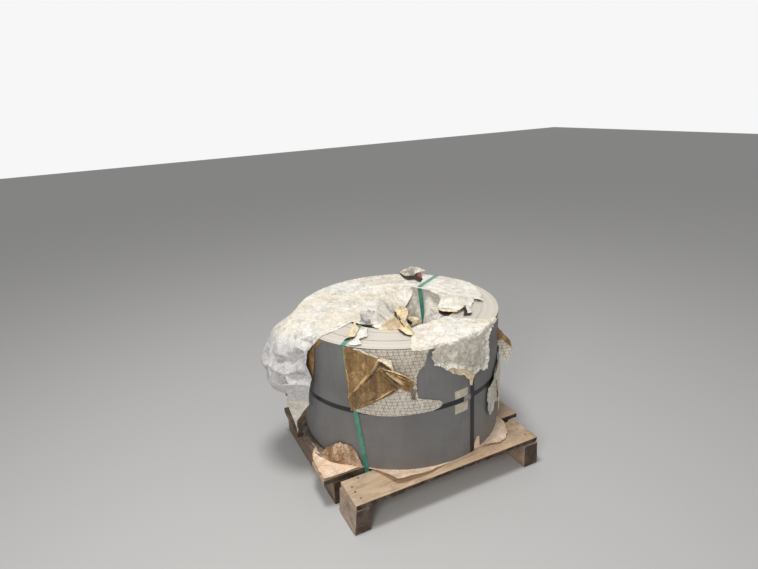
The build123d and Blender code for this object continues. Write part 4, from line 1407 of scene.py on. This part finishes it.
kraftSheets = {
    "kraftPanel": {
        "middle": -135, "seed": 21.0, "replaces": ("kraft_flap",), "ripple": 1.0,
        "corners": [
            (-144.6, 511, 0.3), (-144.3, 460, 0.3), (-143.9, 415, 0.2), (-143.5, 374, 0.2), (-143.1, 330, 0.2),
            (-142.8, 304, 0.2), (-135, 366, 0.2), (-131, 414, 0.2), (-127.6, 455, 0.2), (-126.6, 479, 0.3),
            (-130.9, 488), (-133.6, 498), (-135.5, 508), (-140, 512),
        ],
        "lift": lambda a, h: 5.0 + 5.0 * blendStep(-135, -144, a) * blendStep(520, 320, h),
        "ridges": [
            ((-142.8, 309), (-135.5, 369), 13, 9), ((-135.5, 369), (-131.4, 414), 12, 11),
            ((-131.4, 414), (-127.0, 480), 10, 12), ((-141.5, 440), (-141.0, 320), 8, 4),
            ((-140.0, 500), (-133.0, 420), 9, 3),
        ],
    },
    # its darker kraft is painted shade
    "kraftFold": {
        "middle": -130, "seed": 22.0, "ripple": 0.25, "finish": "fold", "back": "band",
        "corners": [
            (-126.2, 466, 0.1), (-128.5, 428, 0.1), (-134.6, 374, 0.1), (-143.2, 304, 0.1), (-141.5, 254, 0.1),
            (-138.2, 268, 0.2), (-132.4, 289, 0.2), (-126.2, 317, 0.2), (-120.8, 339, 0.2), (-117.4, 360),
            (-119.6, 381, 0.3), (-123.1, 416, 0.2), (-125.4, 440, 0.2),
        ],
        "lift": lambda a, h: 11.0 + 8.0 * blendStep(-124, -140, a) - 4.0 * blendStep(345, 300, h + (a + 130) * 4),
        "ridges": [
            ((-126.2, 466), (-131.0, 405), 6, -8), ((-131.0, 405), (-143.0, 306), 6, -8),
            ((-141.5, 258), (-132.4, 293), 5, 8), ((-132.4, 293), (-120.8, 343), 5, 8),
            ((-120.8, 343), (-117.6, 360), 4, 5), ((-126.6, 440), (-119.5, 376), 6, 7),
            ((-128.5, 430), (-123.5, 372), 4, -4),
        ],
    },
    "kraftTail": {
        "middle": -118, "seed": 23.0, "ripple": 0.25, "back": "band",
        "corners": [
            (-125.6, 452, 0.2), (-123, 446, 0.2), (-119.7, 428, 0.2), (-116, 414), (-111.6, 398), (-110.3, 384),
            (-110.6, 372), (-112, 352), (-114.6, 352), (-117.6, 364, 0.3), (-119.4, 385, 0.3), (-123.7, 426, 0.3),
        ],
        "lift": lambda a, h: 12.0 + 8.0 * blendStep(-124, -112, a),
        "ridges": [
            ((-125.6, 450), (-119.7, 424), 6, 13), ((-119.7, 424), (-111.0, 392), 6, 13),
            ((-123.0, 426), (-117.0, 372), 5, -8), ((-121.0, 418), (-113.0, 372), 4, 6),
        ],
        "white": 0.9,
    },
    "kraftLip": {
        "middle": -123, "seed": 24.0, "ripple": 0.3, "finish": "tuft",
        "corners": [
            (-127, 478, 0.2), (-124, 484), (-120.4, 478), (-120, 460), (-119.4, 434), (-121.4, 444), (-124.4, 462),
        ],
        "lift": lambda a, h: 17.0 - 6.0 * blendStep(-121, -127, a),
        "ridges": [
            ((-127.0, 478), (-120.0, 452), 6, 5),
        ],
    },
    "kraftShreds": {
        "middle": -112, "seed": 25.0, "ripple": 1.6, "tear": 0.009, "finish": "shade",
        "corners": [
            (-114, 372), (-110.6, 372), (-109.4, 350), (-109.2, 322), (-110.2, 306), (-111.4, 326), (-113, 340),
            (-115.4, 350),
        ],
        "lift": lambda a, h: 7.0 + 6.0 * wobble(a * 0.5, h * 0.03, 2.2),
        "ridges": [],
    },
}


# strips along (azimuth, height) lines: rolled edges of that corner drawn in a lighter kraft that is painted highlight,
# with painted shade in the folds beside them, its upper lip, and a painted shadow line at the coil's foot. Each has its
# finish, its half width and lift in millimetres, and its seed.
kraftFolds = {
    "panelRoll": ("highlitRoll", 5.5, 17, 81, [
        (-142.5, 312), (-137.3, 359), (-132.8, 401), (-129.8, 433), (-127.9, 456), (-126.3, 478),
    ]),
    "rollShade": ("shadowKraft", 5, 15.5, 82, [
        (-141, 303), (-135.3, 351), (-130.3, 397), (-127.9, 428), (-125.9, 458),
    ]),
    "bottomRoll": ("highlitRoll", 3.2, 15, 83, [
        (-141.2, 261), (-134.2, 286), (-128.5, 312), (-123.5, 338), (-118.8, 362),
    ]),
    "foldShade": ("shadowKraft", 3.6, 19, 84, [(-125.9, 468), (-124.2, 438), (-121.3, 409), (-117.5, 368)]),
    "hollowShade": ("shadowKraft", 6.5, 23, 85, [(-125.4, 470), (-122.6, 448), (-119.8, 431)]),
    "tailEdge": ("highlitRoll", 3.2, 25, 86, [(-123.4, 442), (-119.5, 433), (-114.5, 414), (-109.2, 386)]),
    "tailShade": ("shadowKraft", 2.2, 24, 88, [(-121.5, 433), (-117, 419), (-110.4, 388)]),
    "tailRoll": ("highlitRoll", 7, 23, 87, [(-123, 430), (-119.4, 407), (-115.6, 385), (-112.6, 370)]),
    "leftRoll": ("highlitRoll", 2.8, 14, 89, [(-143.3, 420), (-142.8, 398), (-142.5, 370), (-142.4, 322)]),
    "footShade": ("shadowKraft", 8, 7.6, 91, [(-200, 8), (-190, 8), (-180, 8), (-172, 8), (-163, 7)]),
    "upperLip": ("cover", 3.4, 14, 90, [(-138.6, 510), (-135, 509), (-132.4, 497), (-129.4, 492), (-126.6, 483)]),
}
foldLook = {
    "back": "kraft", "slot": "kraft_paper", "held": "folded", "restsOn": ["kraftPanel"], "cell": 0.0028, "smooth": 40,
    "flat": -5, "round": 4.5, "rough": 0.8,
}


def stripCorners(line, half):
    # a strip of the given half width along a line of (azimuth, height) points, pointed at both ends
    points = [onWall(*place) for place in line]
    sides = []
    for k, point in enumerate(points):
        run = points[min(k + 1, len(points) - 1)] - points[max(k - 1, 0)]
        across = Vector((-run.y, run.x)).normalized() * half * (0.45 if k in (0, len(points) - 1) else 1.0)
        sides.append((point + across, point - across))
    around = [a for a, b in sides] + [b for a, b in reversed(sides)]
    return [(degrees(p.x * mm / wallRadius), p.y) for p in around]


def buildKraftFolds():
    for name, (finish, half, lift, seed, line) in kraftFolds.items():
        middle = line[len(line) // 2][0]
        # the lighter rolls, drawn as painted highlight, also bulge out
        bulge = foldLook["round"] if finish == "highlitRoll" else 0

        def place(s, t, edge, half=half, lift=lift, seed=seed, middle=middle, bulge=bulge):
            rounded = 1 - max(0.0, 1 - edge / mm / half) ** 2
            out = lift + foldLook["flat"] + bulge * rounded + foldLook["rough"] * facets(s, t, 0.02, seed)
            return polar(wallRadius + out * mm, middle + degrees(s / wallRadius), coilFoot + t)

        sheet = dict(foldLook, finish=finish, seed=seed, tear=0.002 if finish == "cover" else 0.0004)
        makeSheet(name, wallCorners(stripCorners(line, half), middle), place, sheet)


def ridgeRise(azimuth, height, ridges):
    rise = 0.0
    point = onWall(azimuth, height)
    for first, last, width, amount in ridges:
        start, end = onWall(*first), onWall(*last)
        share = min(1.0, max(0.0, (point - start).dot(end - start) / (end - start).length_squared))
        rise += amount * max(0.0, 1 - (point - start.lerp(end, share)).length / width)
    return rise


def buildKraftCorner():
    for name, look in kraftSheets.items():
        def place(s, t, edge, look=look):
            azimuth, height = look["middle"] + degrees(s / wallRadius), t / mm
            out = look["lift"](azimuth, height) + ridgeRise(azimuth, height, look["ridges"])
            large, small = facets(s, t * 2.6, 0.03, look["seed"]), facets(s, t * 2.0, 0.012, look["seed"] + 1)
            out += look["ripple"] * (1.1 * large + 0.5 * small)
            out += crumple(s, t, 0.06, 0.0016, look["seed"]) / mm
            return polar(wallRadius + max(3.5, out) * mm, azimuth, coilFoot + t)

        sheet = dict({
            "finish": "kraft", "held": "folded", "restsOn": ["frontWrap"], "tear": 0.0012, "cell": 0.0048,
            "white": 0.55, "border": 0.004, "smooth": 26,
        }, **look)
        makeSheet(name, wallCorners(look["corners"], look["middle"]), place, sheet)


# Standing scraps: torn kraft and paper round the eye, as flat outlines that stand or lie from a foot.
# foot is (millimetres from the axis, azimuth, millimetres over the face), lean turns the top outward.

# painted shade, near-black on both sides, for the creases of the tufts and under the crumbs
shadowBoth = {"finish": "paintedShadow", "back": "paintedShadow", "slot": "kraft_paper"}
paleBoth = {"finish": "cover", "back": "cover"}
kraftBoth = {"finish": "tuft", "back": "tuft"}
# painted shadow for tears and gaps, lying flat
tearShadow = {"finish": "paintedShadow", "bulge": 0.0}
scraps = {
    "leftTuft": {
        "foot": (262, -122, 1), "turn": 5, "lean": -6, "curl": 12, "seed": 31.0, "replaces": ("kraft_tuft",),
        "depth": 7.0,
        "corners": [(-49, 1, 0.2), (-49, 8), (-17, 39), (12, 62), (21, 51), (34, 29), (48, 14), (48, 0, 0.2)],
    },
    "rightTuft": {
        "foot": (256, -113, 1), "turn": -4, "lean": -14, "curl": -14, "seed": 33.0, "depth": 6.0,
        "corners": [
            (2, 2, 0.2), (-10, 25), (-19, 63), (-20, 77), (-8, 87), (13, 86), (26, 71), (27, 54), (15, 33), (14, 10),
        ],
    },
    # painted shade in the crease of the right tuft
    "tuftCreaseShade": {
        "foot": (257, -113, 1), "turn": -4, "lean": 4, "curl": 1, "seed": 45.0, "depth": 1.0, **shadowBoth,
        "tear": 0.0006,
        "corners": [(-9, 40), (-14, 62), (-11, 58), (2, 30), (22, 8), (30, -6), (20, -4), (0, 18)],
    },
    "foldedTuft": {
        "foot": (262, -110, 3), "turn": -7, "lean": 0, "curl": 4, "seed": 34.0, "depth": 3.0,
        "corners": [(-20, 36, 0.2), (-3, 34), (16, 12), (31, -8), (14, -8), (-3, 8)],
    },
    "kraftCrumbs": {
        "foot": (236, -97, 1), "turn": -20, "lean": -4, "curl": 4, "seed": 36.0, "depth": 12.0, "tear": 0.004,
        "corners": [
            (-34, 52), (-25, 34), (-17, 38), (-3, 28), (12, 24), (13, 8), (-8, 4), (-21, -4), (-35, 2), (-39, 29),
        ],
    },
    "crumbShade": {
        "foot": (238, -99, 1), "turn": -18, "lean": 0, "curl": 1, "seed": 48.0, "depth": 1.0, **shadowBoth,
        "tear": 0.002,
        "corners": [(-36, 28), (-26, 22), (-12, 10), (-20, 2), (-32, 10)],
    },
    "tornLip": {
        "foot": (226, -150, 2), "lean": -18, "curl": 9, "seed": 37.0, "depth": 9.0, "finish": "torn",
        # painted shade: the whole lip takes the greyer shaded paper
        "shadeShare": lambda place: 0.9,
        "corners": [(-34, 0), (-24, 22), (-30, 34), (-6, 40), (8, 60), (20, 52), (38, 58), (30, 30), (22, 0)],
    },
    "backFlap": {
        "foot": (385, 51, 2), "turn": 13, "lean": 0, "curl": -9, "seed": 40.0, "depth": 6.0, "finish": "cover",
        "back": "cover", "tear": 0.0012,
        "corners": [
            (-11, 0), (14, -1), (33, 10), (54, 24), (32, 41), (-3, 56), (-37, 48), (-74, 27), (-41, 24), (-24, 18),
        ],
    },
}


def buildScraps():
    for name, look in scraps.items():
        radius, azimuth, height = look["foot"]
        outward, sideways = outAndAside(azimuth + look.get("turn", 0))
        rise = outward * sin(radians(look["lean"])) + Vector((0, 0, cos(radians(look["lean"]))))
        foot = polar(radius * mm, azimuth, coilTop + height * mm)
        normal = sideways.cross(rise)

        def place(s, t, edge, foot=foot, sideways=sideways, rise=rise, normal=normal, look=look):
            bow = look["curl"] * mm * (1 - (s / 0.045) ** 2) * min(1.0, t / 0.05)
            bow += crumple(s, t, 0.028, look["depth"] * mm, look["seed"]) * min(1.0, 0.3 + t / 0.03)
            point = foot + sideways * s + rise * t + normal * bow
            if fromAxis(point) > boreRadius:
                point.z = max(point.z, coilTop + 0.0016)
            return point

        sheet = dict({
            **kraftBoth, "held": "folded", "tear": 0.002, "cell": 0.0042, "white": 0.5, "border": 0.003, "smooth": 24,
        }, **look)
        makeSheet(name, flatCorners(look["corners"]), place, sheet)


# Torn pieces that lie on the top, each by its (radius, azimuth) corners; lift is in millimetres over the face. The
# near-black ones are painted shadow in tears, in a slit and under lifted pieces

laidScraps = {
    "tuftStrip": {
        "lift": 7.0, "seed": 70.0, **kraftBoth, "bulge": 5.0, "tear": 0.001,
        "corners": [(262, -115), (246, -110.4), (305, -105), (338, -107.2), (322, -111), (284, -114.1)],
    },
    "stripShade": {
        "lift": 4.0, "seed": 71.0, **tearShadow, "tear": 0.0006,
        "corners": [(262, -116.6), (284, -115.4), (322, -112.2), (342, -108.6), (330, -108.4), (284, -113)],
    },
    "strapSpike": {
        "lift": 10.0, "seed": 72.0, **kraftBoth, "bulge": 6.0,
        "corners": [
            (246, -160.5), (280, -151.1), (291, -147.3), (340, -144), (365, -142.9), (393, -146.4), (363, -148.9),
            (333, -149.8), (282, -154.4),
        ],
    },
    "spikeShade": {
        "lift": 5.0, "seed": 73.0, **tearShadow, "tear": 0.0006,
        "corners": [(404, -146.6), (369, -143.4), (340, -140.6), (350, -142.4), (390, -147)],
    },
    "whiteScrap": {
        "lift": 7.0, "seed": 74.0, **paleBoth, "bulge": 7.0,
        "corners": [
            (302, -146), (270, -142.1), (302, -139.6), (343, -136.1), (376, -139.3), (412, -135.7), (429, -138),
            (429, -141), (421, -142.1), (376, -142),
        ],
    },
    "eyeRibbon": {
        "lift": 6.0, "seed": 75.0, **paleBoth, "bulge": 4.0,
        "corners": [(250, -140.3), (221, -138.9), (206, -131), (245, -130), (262, -134.2)],
    },
    # painted shadow in the hole under the curled back flap
    "backTearShadow": {
        "lift": 7.0, "seed": 61.0, **tearShadow, "tear": 0.003,
        "corners": [
            (436, 60), (415, 58.8), (372, 57), (343, 54.6), (329, 50.9), (339, 47), (316, 43.5), (300, 39.5),
            (345, 40), (367, 42.5), (400, 45), (436, 46.2),
        ],
    },
    "redPatch": {
        "lift": 9.0, "seed": 62.0, "finish": "redPrint", "bulge": 4.0,
        "corners": [(430, 48.1), (436, 45.6), (392, 43), (353, 41.4), (366, 44.5), (394, 46.4)],
    },
    "lipShade": {
        "lift": -3.0, "seed": 63.0, **tearShadow, "tear": 0.001,
        "corners": [
            (184, -45), (215, -46), (262, -44), (274, -50), (270, -54), (262, -62.5), (254, -66.5), (240, -63.5),
            (222, -60.8), (202, -57),
        ],
    },
    "foldedLip": {
        "lift": 15.0, "seed": 64.0, **paleBoth, "bulge": 5.0,
        "corners": [
            (190, -53.5), (201, -37.4), (222, -32), (262, -29), (284, -32.9), (297, -39.7), (292, -46.6),
            (281, -53.4), (245, -52.6), (205, -54.5),
        ],
    },
    "lipKraft": {
        "lift": 11.0, "seed": 65.0, **kraftBoth, "bulge": 3.0, "tear": 0.001,
        "corners": [
            (188, -50.5), (221, -51), (252, -51), (276, -51.6), (281, -55.8), (252, -57.4), (224, -59), (196, -56),
        ],
    },
    "foldedBit": {
        "lift": 8.0, "seed": 66.0, **paleBoth, "bulge": 6.0,
        "corners": [(293, -33), (302, -29), (308, -37.5), (324, -43.4), (336, -50.8), (320, -53), (299, -42.1)],
    },
    "bitShade": {
        "lift": 4.5, "seed": 67.0, **tearShadow,
        "corners": [(284, -40), (299, -40), (318, -53), (336, -51.6), (334, -54.5), (310, -57), (300, -50)],
    },
    # painted shadow in the slit under its lip
    "slitShadow": {
        "lift": 7.5, "seed": 68.0, **tearShadow, "tear": 0.0006,
        "corners": [(331, -25.2), (348, -25.2), (371, -29), (352, -27.6)],
    },
    "slitLip": {
        "lift": 9.0, "seed": 69.0, **paleBoth, "tear": 0.0008, "bulge": 5.0,
        "corners": [(330, -21.5), (356, -21.5), (374, -27.2), (368, -28.4), (352, -26), (334, -24.6)],
    },
}


def buildLaidScraps():
    for name, look in laidScraps.items():
        def place(s, t, edge, look=look):
            bulge = look["bulge"] * blendStep(0, 0.014, edge)
            lift = look["lift"] + bulge + crumple(s, t, 0.03, 0.0015, look["seed"]) / mm
            return Vector((axisX + s, t, coilTop + lift * mm))

        sheet = dict({
            "back": "paintedShadow", "held": "laid", "cell": 0.0045, "tear": 0.002, "smooth": 24, "restsOn": ["rightCover"],
        }, **look)
        makeSheet(name, discCorners(look["corners"]), place, sheet)


# Right flap: a corner of the wrapper that stands off the wall, kraft above and net below

flapLook = {
    "azimuth": -42.0, "seed": 41.0,
    # millimetres out from the wall, height above the coil's foot
    "kraftFlap": [(-8, 446), (6, 428), (22, 404), (40, 380), (56, 336), (44, 346), (24, 372), (8, 386), (-6, 380)],
    "netFlap": [(-8, 410), (10, 384), (26, 370), (48, 340), (50, 318), (34, 276), (20, 290), (8, 318), (-4, 356)],
}


# name, finish, what it replaces, which side of the corner it is
flapSides = (("kraftFlap", "kraft", ("right_flap",), -1), ("netFlap", "band", (), 1))


def buildRightFlap():
    outward, sideways = outAndAside(flapLook["azimuth"])
    foot = polar(wallRadius, flapLook["azimuth"], coilFoot)
    for name, finish, replaced, side in flapSides:
        def place(s, t, edge, side=side):
            bow = 0.35 * max(0.0, s) + 0.008 * sin(t * 22) + crumple(s, t, 0.05, 0.004, 4.2) + side * 0.002
            return foot + outward * (max(0.0, s + 0.010) - 0.006 + 0.002) + Vector((0, 0, t)) + sideways * bow

        makeSheet(name, flatCorners(flapLook[name]), place, {
            "seed": flapLook["seed"] + side, "tear": 0.003, "cell": 0.005, "finish": finish, "back": "inner",
            "held": "hung", "replaces": replaced, "white": 0.4,
        })


# Base sheet: pressed under the coil, with a crumpled corner, a tongue over the front board and a torn right part

baseLook = {
    "seed": 51.0, "tear": 0.003, "cell": 0.0085, "finish": "base", "back": "tent", "held": "laid",
    "replaces": ("base_paper",), "restsOn": ["frontBoard", "secondBoard", "thirdBoard"],
    # metres: free of the coil's foot, how it lifts at its torn edge and at the tongue, and its hole past the bore
    "free": 0.003, "lift": 0.0006, "edgeLift": 0.006, "tongue": 0.020, "overBore": 0.014,
    "corners": [
        (-486, -291), (-463, -294, 0.3), (-404, -297, 0.4), (-349, -290, 0.3), (-318, -289), (-306, -306, 0.3),
        (-279, -366, 0.3), (-252, -443, 0.3), (-229, -449, 0.3), (-163, -452, 0.4), (-103, -450, 0.4), (-65, -439),
        (16, -424), (61, -408), (136, -412), (228, -434), (262, -424), (292, -396), (330, -330), (352, -220),
        (360, -170), (280, 60), (190, 310), (-190, 310), (-340, 110), (-392, 0), (-405, -60), (-448, -40),
        (-446, -83), (-470, -118), (-482, -150), (-486, -220),
    ],
}


def basePlace(s, t, edge):
    look, radius, lift = baseLook, hypot(s, t), 0.0
    pressed = wallRadius + look["free"]
    if radius > pressed:
        free = min(1.0, (radius - wallRadius - look["free"]) / 0.02)
        lift = free * (0.002 + 0.8 * abs(crumple(s, t, 0.075, 0.0046, 8.8)))
        lift += look["edgeLift"] * free * (1 - blendStep(0, 0.012, edge))
    clear = blendStep(wallRadius + 0.004, wallRadius + 0.075, radius)
    tongue = blendStep(-0.06, -0.20, s) * clear * blendStep(-0.27, -0.34, t)
    height = look["lift"] + lift * (1 - 0.6 * tongue) + look["tongue"] * tongue
    return Vector((axisX + s, t, deckTop + height))


tentLook = {
    "seed": 53.0, "tear": 0.003, "cell": 0.005, "finish": "tent", "back": "base", "held": "folded",
    "restsOn": ["baseSheet"], "smooth": 24, "middle": -150,
    "corners": [
        (-163, 4), (-161.5, 26), (-159.3, 50), (-156, 66), (-153.4, 78), (-150.8, 92), (-148.6, 84), (-146.2, 90),
        (-143.9, 86), (-142.6, 74), (-141.2, 62), (-139.2, 34), (-138, 4), (-150, 3),
    ],
}


def tentPlace(s, t, edge):
    azimuth, height = tentLook["middle"] + degrees(s / wallRadius), t / mm
    foot = 5 + 32 * blendStep(-139, -161, azimuth)
    fans = 6 * facets(s + 0.35 * t, t * 0.2, 0.013, 9.9) * min(1.0, height / 30)
    out = 6 + foot * (1 - min(1.0, height / 90)) + fans + 3 * facets(s, t, 0.04, 12.2)
    return polar(wallRadius + max(3.0, out) * mm, azimuth, max(deckTop + 0.0012, coilFoot + t - 0.002))


# painted shade: the base paper drawn darker where the drape shades the deck left of the coil
shadedLook = {
    "seed": 55.0, "tear": 0.004, "cell": 0.008, "finish": "shade", "back": "shade", "held": "laid",
    "restsOn": ["secondBoard", "thirdBoard"],
    "corners": [
        (-395, -196), (-448, -150), (-462, -90), (-470, -10), (-452, 60), (-436, 120), (-400, 150), (-404, 60),
        (-420, -20), (-412, -110),
    ],
}


def shadedPlace(s, t, edge):
    lift = 0.003 + 1.3 * abs(crumple(s, t, 0.04, 0.006, 6.6)) + 0.002 * blendStep(0.47, 0.43, hypot(s, t))
    return Vector((axisX + s, t, deckTop + lift))


spikeLook = {
    "seed": 57.0, "tear": 0.001, "cell": 0.005, "finish": "base", "back": "tent", "held": "folded",
    "restsOn": ["baseSheet"], "foot": (-0.452, -0.118, 0.004),
    "corners": [(-26, 0), (-16, 12), (-9, 24), (2, 13), (16, 7), (30, 0)],
}


def buildBaseSheet():
    reach = boreRadius + baseLook["overBore"]
    hole = [(reach * cos(radians(a)), reach * sin(radians(a)), 0) for a in range(0, 360, 10)]
    makeSheet("baseSheet", flatCorners(baseLook["corners"]), basePlace, dict(baseLook, holes=[hole]))
    makeSheet("crumpledCorner", wallCorners(tentLook["corners"], tentLook["middle"]), tentPlace, tentLook)
    makeSheet("shadedSheet", flatCorners(shadedLook["corners"]), shadedPlace, shadedLook)

    def spikePlace(s, t, edge):
        x, y, z = spikeLook["foot"]
        return Vector((axisX + x + 0.4 * s, y - s, deckTop + z + t)) + Vector((crumple(s, t, 0.03, 0.004, 2.8), 0, 0))

    makeSheet("baseSpike", flatCorners(spikeLook["corners"]), spikePlace, spikeLook)


bpy.context.scene.view_settings.view_transform = "Standard"
makeStage()
makeCamera()
buildCoil()
for timberNode, timberKind in timbers.items():
    buildTimber(timberNode, timberKind)
print("timber is cut")
buildNails()
buildClip()
dressCadBands()
print("bands, clip and nails are in place")
buildCover()
buildRightCover()
buildFrontCover()
buildLiner()
print("end sheets are laid")
buildWallSheets()
buildKraftCorner()
buildKraftFolds()
buildScraps()
buildLaidScraps()
buildRightFlap()
print("wall sheets are hung")
buildBaseSheet()
print("base sheet is laid")
